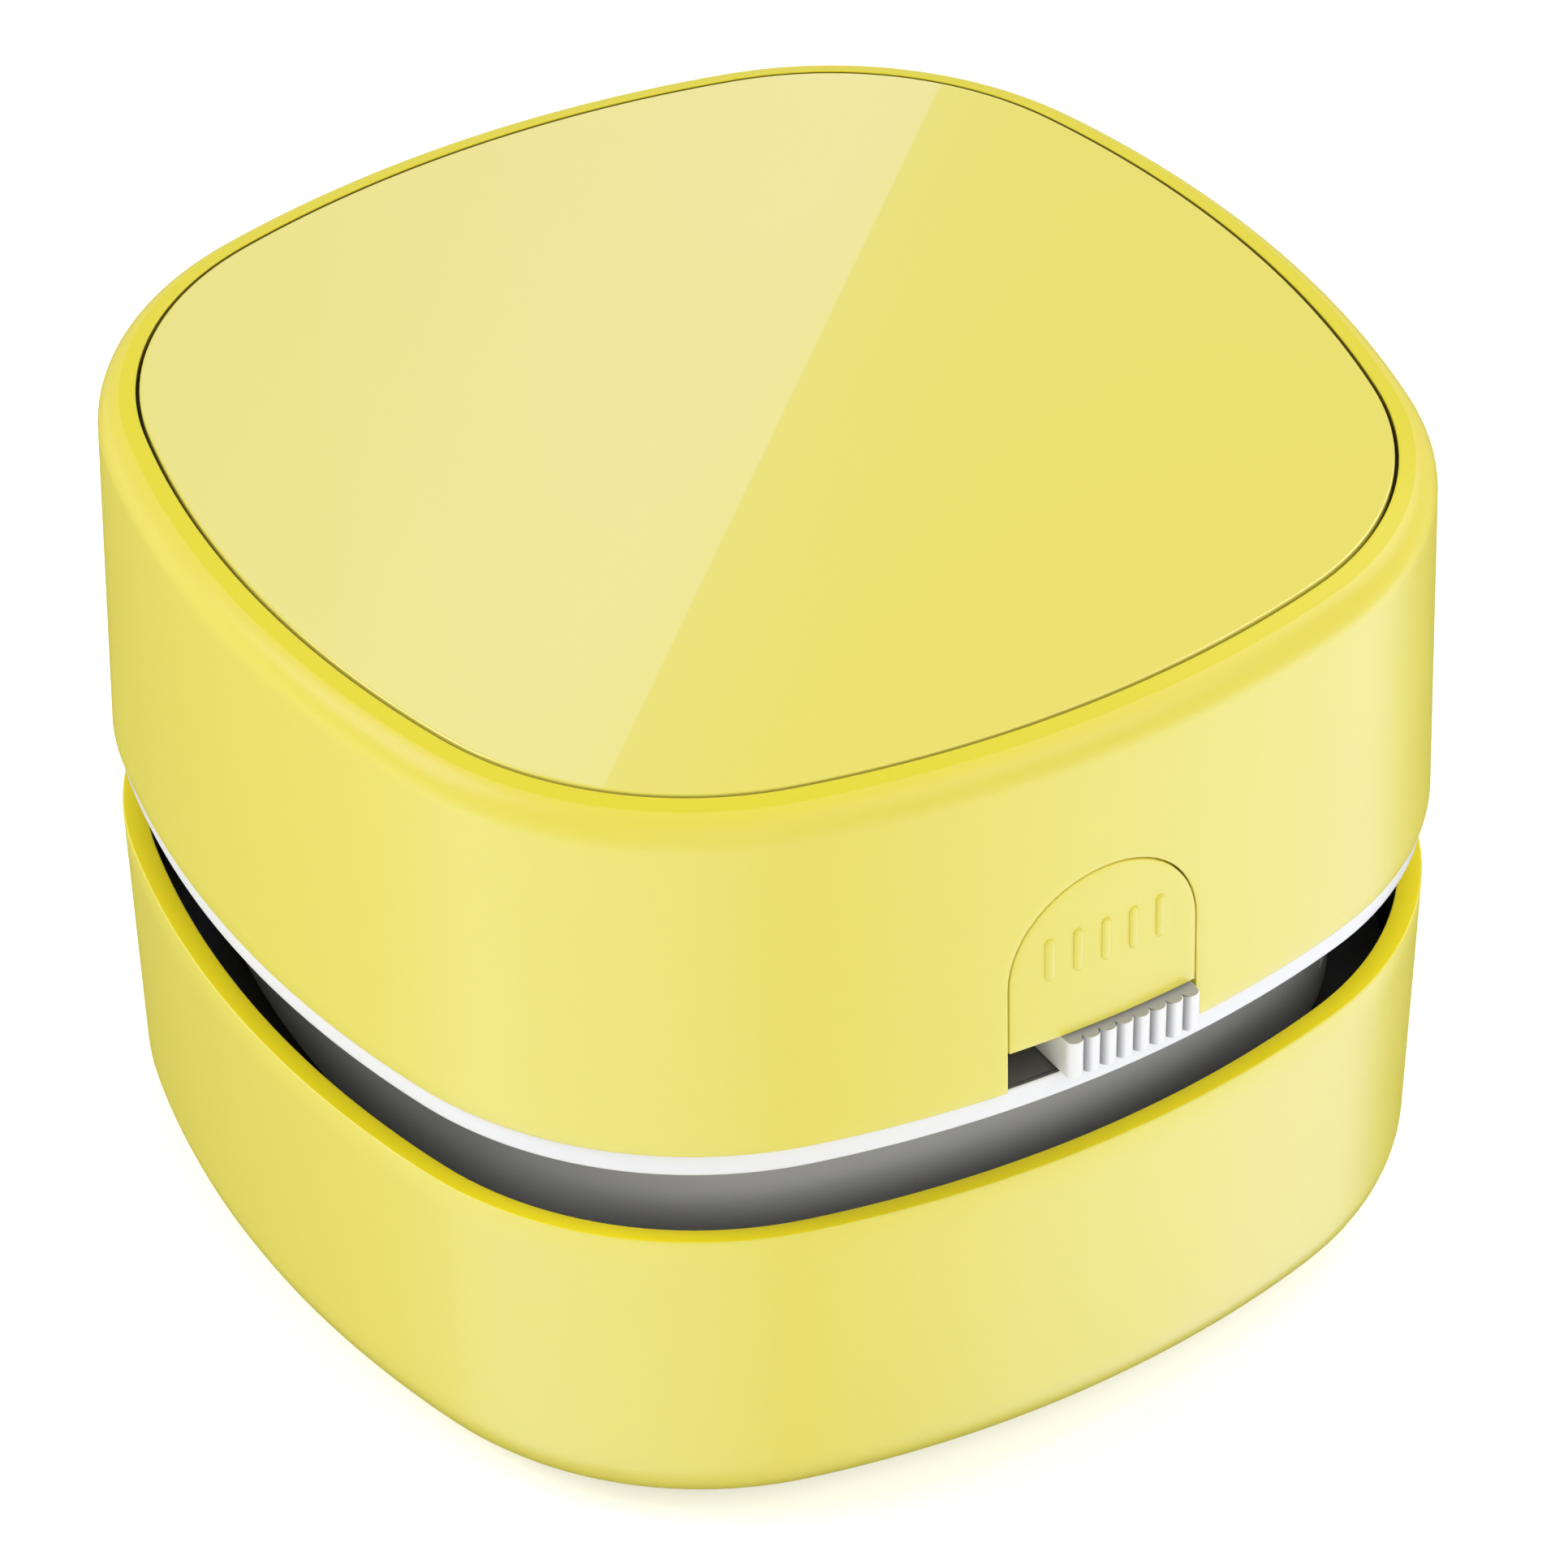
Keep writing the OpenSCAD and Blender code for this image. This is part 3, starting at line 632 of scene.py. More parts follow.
def metal(name, colour, roughness, along=(1.0, 1.0, 1.0), bump=0.004, vary=0.15, metallic=1.0):
    """Metal with streaks; the axis with a small factor is the one that the streaks run along."""
    m, t, p = new_material(name)
    g = shared(t, "drawn", {"Roughness": roughness, **{"Along " + a: v for a, v in zip("XYZ", along)}})
    colour = np.array(colour)
    put_all(t, p, {"Base Color": tinted(t, g["Tone"], colour * (1 - vary), colour), "Roughness": g["Roughness"],
                   "Metallic": metallic, "Normal": relief(t, g["Height"], 0.5, bump)})
    return m


def mesh_cloth(name):
    """Fine woven nylon, with dark grey painted in its holes as painted shade of the depth behind."""
    m, t, p = new_material(name)
    g = shared(t, "weave", {})
    put_all(t, p, {"Base Color": mixed(t, g["Holes"], (0.82, 0.82, 0.80), (0.20, 0.20, 0.20)),
                   "Normal": relief(t, g["Height"], 0.8, 0.08), "Roughness": 0.75, "Sheen Weight": 0.2})
    return m


def cell_jacket(name):
    """Plain foil jacket of a cell: a green body with a pale band near the button, bare steel at both ends.
    The button end is +Y on the left cell and -Y on the right one."""
    m, t, p = new_material(name)
    x, y, z = axes(t, object_place(t))
    along = times(t, y, times(t, maths(t, "SIGN", x), -1.0))
    middle = (high("battery_left") + low("battery_left")) / 2 * MM
    up, out = less(t, z, middle[2]), less(t, maths(t, "ABSOLUTE", x), abs(middle[0]))
    band = times(t, ramped(t, along, 14.8 * MM, 15.0 * MM), ramped(t, along, 19.6 * MM, 19.4 * MM))
    steel = ramped(t, plan_length(t, up, out), 6.75 * MM, 6.6 * MM)
    g = shared(t, "moulded", {"Grain size mm": 0.4, "Roughness": 0.28})
    jacket = mixed(t, band, tinted(t, g["Tone"], (0.035, 0.24, 0.08), (0.05, 0.30, 0.11)), (0.78, 0.78, 0.74))
    put_all(t, p, {"Base Color": mixed(t, steel, jacket, (0.62, 0.61, 0.58)), "Roughness": g["Roughness"],
                   "Metallic": plus(t, 0.35, times(t, steel, 0.6)), "Coat Weight": 0.5, "Coat Roughness": 0.08})
    return m


YELLOW = (0.845, 0.755, 0.118)
PANEL_YELLOW = (0.765, 0.68, 0.11)
# painted shade: the cover's yellow drawn deeper on the upward rim band, which mirrors no sheen
BAND_SHADE_YELLOW = (0.70, 0.615, 0.042)
# painted light and shade: the bin's yellow drawn deeper on the rim lip, where it mirrors no sheen, and brighter to
# undo the cover's shadow over it
LIP_LIGHT_SHADE_YELLOW = (0.95, 0.79, 0.013)
# painted shade: the shoulder's deeper yellow, where the wall's sheen fades
SHOULDER_SHADE_YELLOW = (0.775, 0.67, 0.075)
# painted shade: dark olive on the walls and floor of the narrow groove round the panel
GROOVE_SHADE_OLIVE = (0.14, 0.11, 0.012)
TRIM_WHITE = (0.89, 0.89, 0.885)
SLIDER_WHITE = (0.93, 0.93, 0.925)
COOL_SHEEN = (0.3, 0.4, 1.0)

# The neck is painted lighter, as a painted reflection, between these heights, round this direction in plan and
# over this spread, in degrees
NECK_PAINTED_GLEAM = (RIM_Z - 6.0, RING_Z - 5.0, 260, 65)


def grey(level):
    """A neutral colour."""
    return (level,) * 3


FINISHES = {
    # the wall is painted a deeper yellow up its shoulder: painted shade
    "wall yellow": lambda n: plastic(n, YELLOW, 0.34, tint=COOL_SHEEN, painted_shading=(SHOULDER_SHADE_YELLOW, SHOULDER_Z, BAND_Z)),
    "bin yellow": lambda n: plastic(n, YELLOW, 0.34, tint=COOL_SHEEN),
    "band yellow": lambda n: plastic(n, BAND_SHADE_YELLOW, 0.3, ior=1.3),
    # painted light and shade on the rim lip
    "lip yellow": lambda n: plastic(n, LIP_LIGHT_SHADE_YELLOW, 0.4, ior=1.3),
    "panel yellow": lambda n: plastic(n, PANEL_YELLOW, 0.12, 0.4, 0.001, 0.05, coat=1.0, coat_rough=0.012,
                                      vary=0.015),
    "groove shade": lambda n: plastic(n, GROOVE_SHADE_OLIVE, 0.6, bump=0.01),
    "trim white": lambda n: plastic(n, TRIM_WHITE, 0.3, ior=1.25),
    # painted shade: grey in the grooves between the slider's ribs
    "slider white": lambda n: plastic(n, SLIDER_WHITE, 0.34, handling=0.15, ior=1.25,
                                      ribs=(grey(0.36), RIB_X, RIB_PITCH)),
    # painted shade: the slider's top face, under the tab, is drawn grey
    "slider grey": lambda n: plastic(n, (0.44, 0.44, 0.45), 0.4, handling=0.15, ior=1.3),
    # painted reflection: the neck is lighter near its top, most on its front side
    "neck grey": lambda n: plastic(n, grey(0.32), 0.34, ior=1.3, painted_shading=(grey(0.65), *NECK_PAINTED_GLEAM)),
    "frame grey": lambda n: plastic(n, (0.13, 0.128, 0.13), 0.42, 0.25, 0.012, 0.3),
    "deck black": lambda n: plastic(n, (0.010, 0.010, 0.009), 0.55, 0.25, 0.02, 0.3, ior=1.35),
    "soft rubber": lambda n: plastic(n, (0.02, 0.02, 0.021), 0.75, 0.2, 0.03, 0.5, ior=1.4),
    "plain white": lambda n: plastic(n, (0.74, 0.74, 0.72), 0.4, 0.25, 0.01, 0.3),
    "bristle nylon": lambda n: plastic(n, (0.70, 0.70, 0.68), 0.38, 0.5, handling=0.2),
    "woven nylon": mesh_cloth,
    "cell jacket": cell_jacket,
    "zinc screw": lambda n: metal(n, (0.60, 0.60, 0.62), 0.32),
    "can steel": lambda n: metal(n, (0.64, 0.64, 0.66), 0.28, (1, 1, 0.04)),
    "ferrite": lambda n: metal(n, (0.06, 0.06, 0.065), 0.7, bump=0.02, metallic=0.2),
    "terminal brass": lambda n: metal(n, (0.76, 0.58, 0.25), 0.3, (1, 1, 0.08)),
    "contact nickel": lambda n: metal(n, (0.74, 0.71, 0.62), 0.25, (0.06, 1, 1)),
    "ground shaft": lambda n: metal(n, (0.68, 0.68, 0.70), 0.16, (1, 1, 4)),
    "rotor iron": lambda n: metal(n, (0.36, 0.20, 0.10), 0.45, (0.02, 0.02, 1), 0.03, metallic=0.6),
    "spring wire": lambda n: metal(n, (0.66, 0.66, 0.68), 0.22),
}
MADE = {}


def material(name):
    """The finish of that name, made once."""
    if name not in MADE:
        MADE[name] = FINISHES[name](name)
    return MADE[name]


NODE_FINISH = {
    "deck black": ["seal_deck", "intake_nozzle", "switch_body", "switch_lever"],
    "soft rubber": ["bin_gasket", "glide_feet"],
    "frame grey": ["brush_carrier", "core_chassis", "battery_tray", "tab_guide"],
    "plain white": ["filter_frame", "motor_end_cap", "impeller"],
    "woven nylon": ["filter_mesh"],
    "cell jacket": ["battery_left", "battery_right"],
    "zinc screw": ["base_screws", "motor_screws"],
    "can steel": ["motor_can"],
    "ferrite": ["motor_magnets"],
    "terminal brass": ["motor_terminals"],
    "contact nickel": ["contact_plates"],
    "spring wire": ["contact_springs"],
    "ground shaft": ["motor_shaft"],
    "rotor iron": ["motor_rotor"],
}


# ---------------------------------------------------------------- sizes and colours a user would change

class HousingSizes(bpy.types.PropertyGroup):
    """Sizes of the finished housing."""

    side_steps: bpy.props.IntProperty(
        name="Side steps", description="Facets along each bowed side", default=28, min=8, max=60)
    corner_steps: bpy.props.IntProperty(
        name="Corner steps", description="Facets round each corner", default=24, min=8, max=60)
    edge_r: bpy.props.FloatProperty(
        name="Edge radius", description="Rounding of the housing's moulded edges",
        default=0.00015, min=0.00005, max=0.0004, subtype="DISTANCE", unit="LENGTH")
    window_r: bpy.props.FloatProperty(
        name="Window edge radius", description="Rounding of the window's and the tab's edges",
        default=0.00005, min=0.00003, max=0.0003, subtype="DISTANCE", unit="LENGTH")


class TrimSizes(bpy.types.PropertyGroup):
    """Sizes of the small fittings."""

    rib_count: bpy.props.IntProperty(
        name="Slider ribs", description="Grip ribs across the power slider", default=RIBS, min=5, max=10)
    mark_stroke: bpy.props.FloatProperty(
        name="Mark stroke", description="Width of the bars of the press mark on the tab",
        default=0.0007, min=0.0005, max=0.001, subtype="DISTANCE", unit="LENGTH")
    filaments: bpy.props.IntProperty(
        name="Filaments", description="Filaments in each bristle tuft", default=26, min=8, max=40)
    splay: bpy.props.FloatProperty(
        name="Splay", description="How far a tuft's filaments spread at their tips",
        default=0.0005, min=0.0, max=0.001, subtype="DISTANCE", unit="LENGTH")


class StudioSettings(bpy.types.PropertyGroup):
    """Floor and light."""

    floor_colour: bpy.props.FloatVectorProperty(
        name="Floor colour", description="Colour of the floor", subtype="COLOR", size=3,
        default=(0.80, 0.80, 0.80), min=0.0, max=1.0)
    ambient: bpy.props.FloatProperty(
        name="Ambient", description="Strength of the light from all round", default=0.42, min=0.0)
    left: bpy.props.FloatProperty(
        name="Left softbox", description="Power of the softbox at the left", default=6.3, min=0.0)
    front: bpy.props.FloatProperty(
        name="Front softbox", description="Power of the softbox in front", default=3.0, min=0.0)
    right: bpy.props.FloatProperty(
        name="Right softbox", description="Power of the softbox at the right", default=4.4, min=0.0)
    fill: bpy.props.FloatProperty(
        name="Fill", description="Power of the low fill light beside the camera", default=3.0, min=0.0)
    left_rim: bpy.props.FloatProperty(
        name="Left rim", description="Power of the low lamp behind at the left", default=1.7, min=0.0)
    right_rim: bpy.props.FloatProperty(
        name="Right rim", description="Power of the low lamp behind at the right", default=1.9, min=0.0)
    card: bpy.props.FloatProperty(
        name="Back card", description="Strength of the bright card behind, whose edge the top panel mirrors",
        default=1.95, min=0.0)
    pool: bpy.props.FloatProperty(
        name="Pools", description="Strength of the two soft pools of light that satin walls mirror",
        default=4.4, min=0.0)


# ---------------------------------------------------------------- housing pieces

def cover_patches(sizes):
    """The cover as one closed skin: outer wall with the window, shoulder, rim band, seat of the panel,
    inner wall and ceiling, joined by the foot's rim and the window's rounded edge."""
    r, wr = sizes.edge_r / MM, sizes.window_r / MM
    foot = COVER_Z + r * (1 - np.cos(EASE))
    low_rows = np.concatenate([foot, np.linspace(foot[-1], ARCH_Z, 9)[1:]])
    reach = 1.0

    def outer(z):
        """Offset of the outer wall at height z, with its foot rounded."""
        return wall_offset(z) - eased_foot(z, COVER_Z, r)

    edge_t = math.degrees(math.asin((WINDOW_HALF + reach) / SIDE_R))
    normals = round_normals(sizes)
    turn = (normals - 270 + 180) % 360 - 180
    theta = normals[np.abs(turn) > edge_t + 0.4]
    theta = theta[np.argsort((theta - 270) % 360)]
    wall, keep = windowed_wall(outer, reach, SHOULDER_Z, low_rows, np.linspace(ARCH_Z, SHOULDER_Z, 13), theta)
    cols = wall.shape[1]
    patches = [sheet(wall, wrap=True, keep=keep)]

    # shoulder and rim band stand on the same columns, by their normals
    x = wall[-1, : FAN + 1, 0]
    top_theta = np.concatenate([270 + np.degrees(np.arcsin(x / (SIDE_R - LEAN))), theta]) % 360
    plan = lambda d: outline(d, top_theta)
    rings = rings_of(plan, [(SHOULDER_D + SHOULDER_R * math.cos(a), SHOULDER_Z + SHOULDER_R * math.sin(a))
                            for a in np.linspace(0, SHOULDER_TURN, 11)])
    rings[0] = wall[-1]
    patches.append(sheet(rings, wrap=True))
    band = filleted([(BAND_D, BAND_Z, 0), (PANEL_EDGE_D, TOP_Z, 0.1), (PANEL_EDGE_D, SEAT_Z, 0)], 3)
    band = np.concatenate([band[:1], band[:1] + (band[1:2] - band[:1]) * [[0.06], [0.94]], band[1:]])
    rings = rings_of(plan, band)
    # painted shade: the rim band takes a deeper yellow, and the groove's wall and the seat a dark olive
    patches += [sheet(rings[:-1], wrap=True, finish=1), sheet(rings[-2:], wrap=True, finish=2),
                lid(rings[-1], finish=2)]

    # inner wall and ceiling, and the foot's rim, open under the window
    inside, keep = windowed_wall(inner_offset, 0.0, CEILING_Z, low_rows, np.linspace(ARCH_Z, CEILING_Z, 7), theta)
    patches += [sheet(inside, wrap=True, keep=keep), lid(inside[-1]),
                sheet(np.stack([wall[0], inside[0]]), wrap=True, keep=(np.arange(cols) >= FAN)[None])]

    # the window's edge: arched lines from the wall, over a small rounding, to the inner wall
    def edge_line(out, depth, offset):
        """One arched line of the edge, moved outwards by out and pushed in by depth from the wall."""
        x, z = arch_line(WINDOW_HALF, out, low_rows).T
        return np.column_stack([x, front_face(x, z, offset) + depth, z])

    steps = [(reach, 0.0), (0.5, 0.0)] + [(wr * (1 - math.sin(a)), wr * (1 - math.cos(a))) for a in EASE]
    edge = np.stack([edge_line(out, depth, outer) for out, depth in steps] + [edge_line(0.0, 0.0, inner_offset)])
    return patches + [sheet(edge), one_face(edge[:, 0]), one_face(edge[:, -1])]


class DESKVAC_OT_cover(bpy.types.Operator):
    """Build the lift-off cover: bowed walls, arched window, shoulder, rim band and the seat of the top panel"""

    bl_idname = "deskvac.build_cover"
    bl_label = "Cover"

    def execute(self, context):
        patches = cover_patches(context.scene.deskvac_housing)
        y0, y1 = -HALF + WALL - 0.4, low("tab_guide")[1]
        for x in (-GUIDE_X, GUIDE_X):
            patches += soft_block((x - BLOCK_HALF, y0, ARCH_Z - 3), (x + BLOCK_HALF, y1, ARCH_Z + 3))
        make_piece("cover_skin", patches, ["wall yellow", "band yellow", "groove shade"],
                   "top_cover", ["cover_shell"])
        return {"FINISHED"}


class DESKVAC_OT_panel(bpy.types.Operator):
    """Build the glossy top panel, a flat plate of the housing's outline with a finely rounded edge"""

    bl_idname = "deskvac.build_panel"
    bl_label = "Top panel"

    def execute(self, context):
        normals = round_normals(context.scene.deskvac_housing)
        edge = PANEL_EDGE_D - PANEL_GAP
        profile = filleted([(edge, SEAT_Z, 0), (edge, TOP_Z, 0.14), (edge - 2, TOP_Z, 0)], 4)[:-1]
        make_piece("panel_skin", tower(lambda d: outline(d, normals), profile), ["panel yellow"],
                   "top_cover", ["top_panel"])
        return {"FINISHED"}


def bin_loop(e):
    """The bin's profile as one loop of rows: foot, outer wall, rim, a band of the inner wall painted black as
    painted shade, inner wall and the boss's face.
    Returns the part that follows the outline, the part that is round, and the first rows of the lip and of the
    painted black band."""
    inner_low, inner_rim = BIN_LOW_D - WALL, BIN_RIM_D - WALL
    foot = [(BIN_LOW_D - BASE_ROUND + BASE_ROUND * math.sin(a), BIN_Z + BASE_ROUND - BASE_ROUND * math.cos(a))
            for a in np.linspace(0, math.pi / 2, 13)]
    wall = np.linspace([BIN_LOW_D, BIN_Z + BASE_ROUND], [BIN_RIM_D, RIM_Z], 9)[1:-1].tolist()
    top = filleted([(*wall[-1], 0), (BIN_RIM_D, RIM_Z, e), (inner_rim, RIM_Z - LIP_DROP, e),
                    (inner_rim - 0.02, RIM_Z - 1, 0)], 3)[1:-1].tolist()
    # the inner wall is painted black from under the lip down past the seal deck: painted shade in the gap under
    # the cover
    lean = lambda z: inner_rim + (inner_low - inner_rim) * (RIM_Z - 1.0 - z) / (RIM_Z - 1.0 - FLOOR_Z - 3)
    shade_band = [(lean(z), z) for z in (RIM_Z - 0.75, SHADE_BAND_Z)]
    inside = filleted([(inner_rim, RIM_Z - 1.0, 0), (inner_low, FLOOR_Z + 3, 2.0), (inner_low - 3, FLOOR_Z, 1.0),
                       (inner_low - 6, FLOOR_Z, 0)], 5)[1:].tolist()
    boss = filleted([(27, FLOOR_Z, 0), (BOSS_R, FLOOR_Z, 0.6), (BOSS_R, BOSS_TOP, 0.3), (NOZZLE_R, BOSS_TOP, 0.2),
                     (NOZZLE_R, BIN_Z, 0.3), (CHANNEL_R[0], BIN_Z, 0.3), (CHANNEL_R[0], CHANNEL_Z, 0.2),
                     (CHANNEL_R[1], CHANNEL_Z, 0.2), (CHANNEL_R[1], BIN_Z, 0.3), (21, BIN_Z, 0)], 3)
    lip_row = len(foot) + len(wall) + 2
    return foot + wall + top + shade_band + inside, boss, lip_row, lip_row - 2 + len(top)


def split_by_row(loop, columns, finish_of_row):
    """Patches of a closed loop of rings, one for each finish; a face belongs to the first row that it touches."""
    points, faces, _ = closed_loop(loop)
    return [(points, [f for f in faces if finish_of_row[min(f) // columns] == k], k)
            for k in range(max(finish_of_row) + 1)]


class DESKVAC_OT_bin(bpy.types.Operator):
    """Build the dust bin: walls and rounded foot, rim lip, floor with the nozzle's hole and brush channel"""

    bl_idname = "deskvac.build_bin"
    bl_label = "Dust bin"

    def execute(self, context):
        sizes = context.scene.deskvac_housing
        normals = round_normals(sizes)
        shell, boss, lip_row, shade_band_row = bin_loop(sizes.edge_r / MM)
        angle = np.arctan2(*outline(0, normals).T[::-1])
        loop = np.concatenate([rings_of(lambda d: outline(d, normals), shell),
                               rings_of(lambda r: on_rays(r, angle), boss)])
        finish = np.zeros(len(loop), int)
        # the lip's rows take the yellow of painted light and shade, and the row below the lip the black of painted
        # shade
        finish[lip_row:lip_row + 3], finish[shade_band_row] = 1, 2
        obj = make_piece("bin_skin", split_by_row(loop, len(normals), finish),
                         ["bin yellow", "lip yellow", "deck black"], "dust_bin", ["bin_housing"])
        head, shank, bore = SCREW_R
        step = filleted([(head, -1, 0), (head, SCREW_Z[0], 0.05), (shank, SCREW_Z[0], 0.05),
                         (shank, SCREW_Z[1], 0.05), (bore, SCREW_Z[1], 0.05), (bore, 6.0, 0)], 2)
        post = filleted([(bore, SCREW_Z[1] + 0.2, 0), (bore, BOSS_TOP, 0.15), (POST_R, BOSS_TOP, 0.3),
                         (POST_R, FLOOR_Z - 0.3, 0)], 3)
        posts = []
        for x in (-POST_AT, POST_AT):
            for y in (-POST_AT, POST_AT):
                plan = lambda r: circle(r, 48) + [x, y]
                carve(obj, tower(plan, step))
                posts.append(closed_loop(rings_of(plan, post)))
        make_piece("bin_bosses", posts, ["bin yellow"], "dust_bin")
        shade(obj.data)
        return {"FINISHED"}


class DESKVAC_OT_ring(bpy.types.Operator):
    """Build the white trim ring under the cover, an outer band with an inner shelf"""

    bl_idname = "deskvac.build_ring"
    bl_label = "Trim ring"

    def execute(self, context):
        sizes = context.scene.deskvac_housing
        normals = round_normals(sizes)
        e, bore = sizes.edge_r / MM, NECK_D + 0.05
        rows = filleted([(-3.0, RING_Z, 0), (RING_D, RING_Z, e * 1.5), (RING_D, SILL_Z, e),
                         (PLATE_D, SILL_Z, 0.05), (PLATE_D, PLATE_Z, 0.05), (bore, PLATE_Z, 0.05),
                         (bore, RING_Z, 0.1), (-3.0, RING_Z, 0)], 3)[:-1]
        # the flat top is dark like the shelf behind it; the cover hides it except in the notch
        flat = rows[:, 1] > SILL_Z - 0.02
        dark = flat & np.roll(flat, -1)
        patches = split_by_row(rings_of(lambda d: outline(d, normals), rows), len(normals), dark.astype(int))
        make_piece("ring_skin", patches, ["trim white", "frame grey"], "motor_core", ["trim_ring"])
        return {"FINISHED"}


def slot_edges():
    """Normal angles of the exhaust slots' sides on the neck's outer face, and the points that face them inside.
    A slot's sides run along its own ray, so its edges on both faces lie equally far from that ray."""
    dense = np.linspace(0, 360, 14401)[:-1]
    faces = outline(NECK_D, dense), outline(NECK_D - NECK_WALL, dense)
    edges, inner_edges = [], []
    for k in np.radians(SLOT_TURNS):
        along, across = on_rays(1.0, np.array([k, k + np.pi / 2]))
        for w in (-SLOT_HALF, SLOT_HALF):
            outside, within = (np.argmin(np.where(line @ along > 0, np.abs(line @ across - w), 99))
                               for line in faces)
            edges.append(dense[outside])
            inner_edges.append(faces[1][within])
    return np.array(edges), np.array(inner_edges)


class DESKVAC_OT_neck(bpy.types.Operator):
    """Build the slotted exhaust neck: a wall of the outline with upright slots, floor flange and filter spigot"""

    bl_idname = "deskvac.build_neck"
    bl_label = "Exhaust neck"

    def execute(self, context):
        floor = CORE_Z + NECK_FLOOR
        slot_rows = np.linspace(floor + SLOT_MARGIN, RING_Z - SLOT_MARGIN, 3).tolist()
        normals = np.sort(round_normals(context.scene.deskvac_housing))
        edges, inner_edges = slot_edges()
        starts, widths = edges[::2], (edges[1::2] - edges[::2]) % 360
        taken = ((normals[:, None] - starts + 0.35) % 360 < widths + 0.7).any(1)
        theta = np.concatenate([normals[~taken], edges])
        order = np.argsort(theta)
        theta, plain = theta[order], (~taken).sum()
        is_slot = (order >= plain) & ((order - plain) % 2 == 0)
        outer = rings_of(lambda z: outline(NECK_D, theta), [(z, z) for z in (CORE_Z + 0.15, *slot_rows, PLATE_Z)])
        inner_xy = outline(NECK_D - NECK_WALL, theta)
        inner_xy[order >= plain] = inner_edges[order[order >= plain] - plain]
        inner = rings_of(lambda z: inner_xy, [(z, z) for z in (floor, *slot_rows, PLATE_Z)])
        keep = np.ones((4, len(theta)), bool)
        keep[1:3, is_slot] = False
        patches = [sheet(outer, wrap=True, keep=keep), sheet(inner, wrap=True, keep=keep)]
        for i in np.flatnonzero(is_slot):
            pair = [i, (i + 1) % len(theta)]
            patches += [band_between(outer[1:4, c], inner[1:4, c]) for c in pair]
            patches += [band_between(outer[j, pair], inner[j, pair]) for j in (1, 3)]
        # top edge, bottom flange with the eye and the filter's spigot
        base = outline(NECK_D, theta)
        angle = np.arctan2(base[:, 1], base[:, 0])
        spigot_r, mesh_top = high("filter_frame")[0] - 1.3 - 0.15, high("filter_mesh")[2]
        flange = filleted([(27.0, CORE_Z, 0), (spigot_r, CORE_Z, 0.1), (spigot_r, mesh_top, 0.15),
                           (spigot_r - 1.2, mesh_top, 0.15), (spigot_r - 1.2, CORE_Z, 0.1), (EYE_R, CORE_Z, 0.2),
                           (EYE_R, floor, 0.2), (20, floor, 0)], 3)
        under = [rings_of(lambda d: outline(d, theta), [(NECK_D, CORE_Z + 0.15), (NECK_D - 0.15, CORE_Z)]),
                 rings_of(lambda r: on_rays(r, angle), flange), inner[:1]]
        patches += [band_between(outer[-1], inner[-1], wrap=True), sheet(np.concatenate(under), wrap=True)]
        make_piece("neck_skin", patches, ["neck grey"], "motor_core", ["exhaust_neck"])
        return {"FINISHED"}


def both_feet(grid):
    """The lower edge of an arched grid as one row, from its left foot to the middle and on to its right foot."""
    return np.concatenate([grid[:, 0], grid[::-1, -1]])


def tab_front(r):
    """The tab's arched front, flush with the bowed wall, and its sides and foot back to the flange."""
    rows = np.concatenate([TAB_Z + r * (1 - np.cos(EASE)), np.linspace(TAB_Z + r, ARCH_Z, 7)[1:]])
    depths = [(r * (1 - math.cos(a)), r * (1 - math.sin(a))) for a in EASE]
    depths += [(q, 0.0) for q in (0.5, 1.2, 2.2, 3.4, 4.8, 6.0, TAB_HALF)]
    face = arch_patch(TAB_HALF, rows, depths, lambda x, z, depth: np.column_stack(
        [x, front_face(x, z, wall_offset) + np.maximum(depth, eased_foot(z, TAB_Z, r)), z]))
    flat = lambda points: points * [1, 0, 1] + [0, TAB_FLANGE_Y + 0.2, 0]
    foot = both_feet(face)
    side, under = flat(face[0]), flat(foot)
    return [sheet(face), band_between(face[0], side), band_between(foot, under),
            one_face(np.concatenate([side, under[-2:0:-1]]))]


def tab_flange():
    """The flange behind the wall, an arched plate."""
    rows = np.linspace(TAB_Z, ARCH_Z, 6)
    inward = [(q, 0.0) for q in (0, 0.2, 2, 4, 6, FLANGE_HALF)]
    a, b = (arch_patch(FLANGE_HALF, rows, inward, lambda x, z, d: np.column_stack([x, np.full(len(x), y), z]))
            for y in (TAB_FLANGE_Y, TAB_BACK))
    return [sheet(a), sheet(b), band_between(a[0], b[0]), band_between(both_feet(a), both_feet(b))]


def tab_fittings(side):
    """On one side of the tab: a hook of three blocks, and a guide pin turned about its own axis along y."""
    x, nose_z, leg_back = side * HOOK_X, SILL_Z + 0.9, LEG_Y + 1.1
    patches = []
    for y, z, top in [(TAB_BACK - 0.4, TAB_Z, TAB_Z + 1.2), (LEG_Y, nose_z, TAB_Z + 1.2),
                      (LEG_Y - 0.7, nose_z, nose_z + 0.9)]:
        patches += soft_block((x - BLOCK_HALF, y, z), (x + BLOCK_HALF, leg_back, top), 0.15)
    pin_end = low("tab_guide")[1] + 1.06
    pin = filleted([(1.1, TAB_BACK - 0.4, 0), (1.1, pin_end, 0.25), (0.2, pin_end, 0)], 3)
    turned = tower(lambda q: circle(q, 32) * [1, -1] + [side * PIN_X, ARCH_Z + 0.6], pin)
    return patches + [(points[:, [0, 2, 1]], faces, finish) for points, faces, finish in turned]


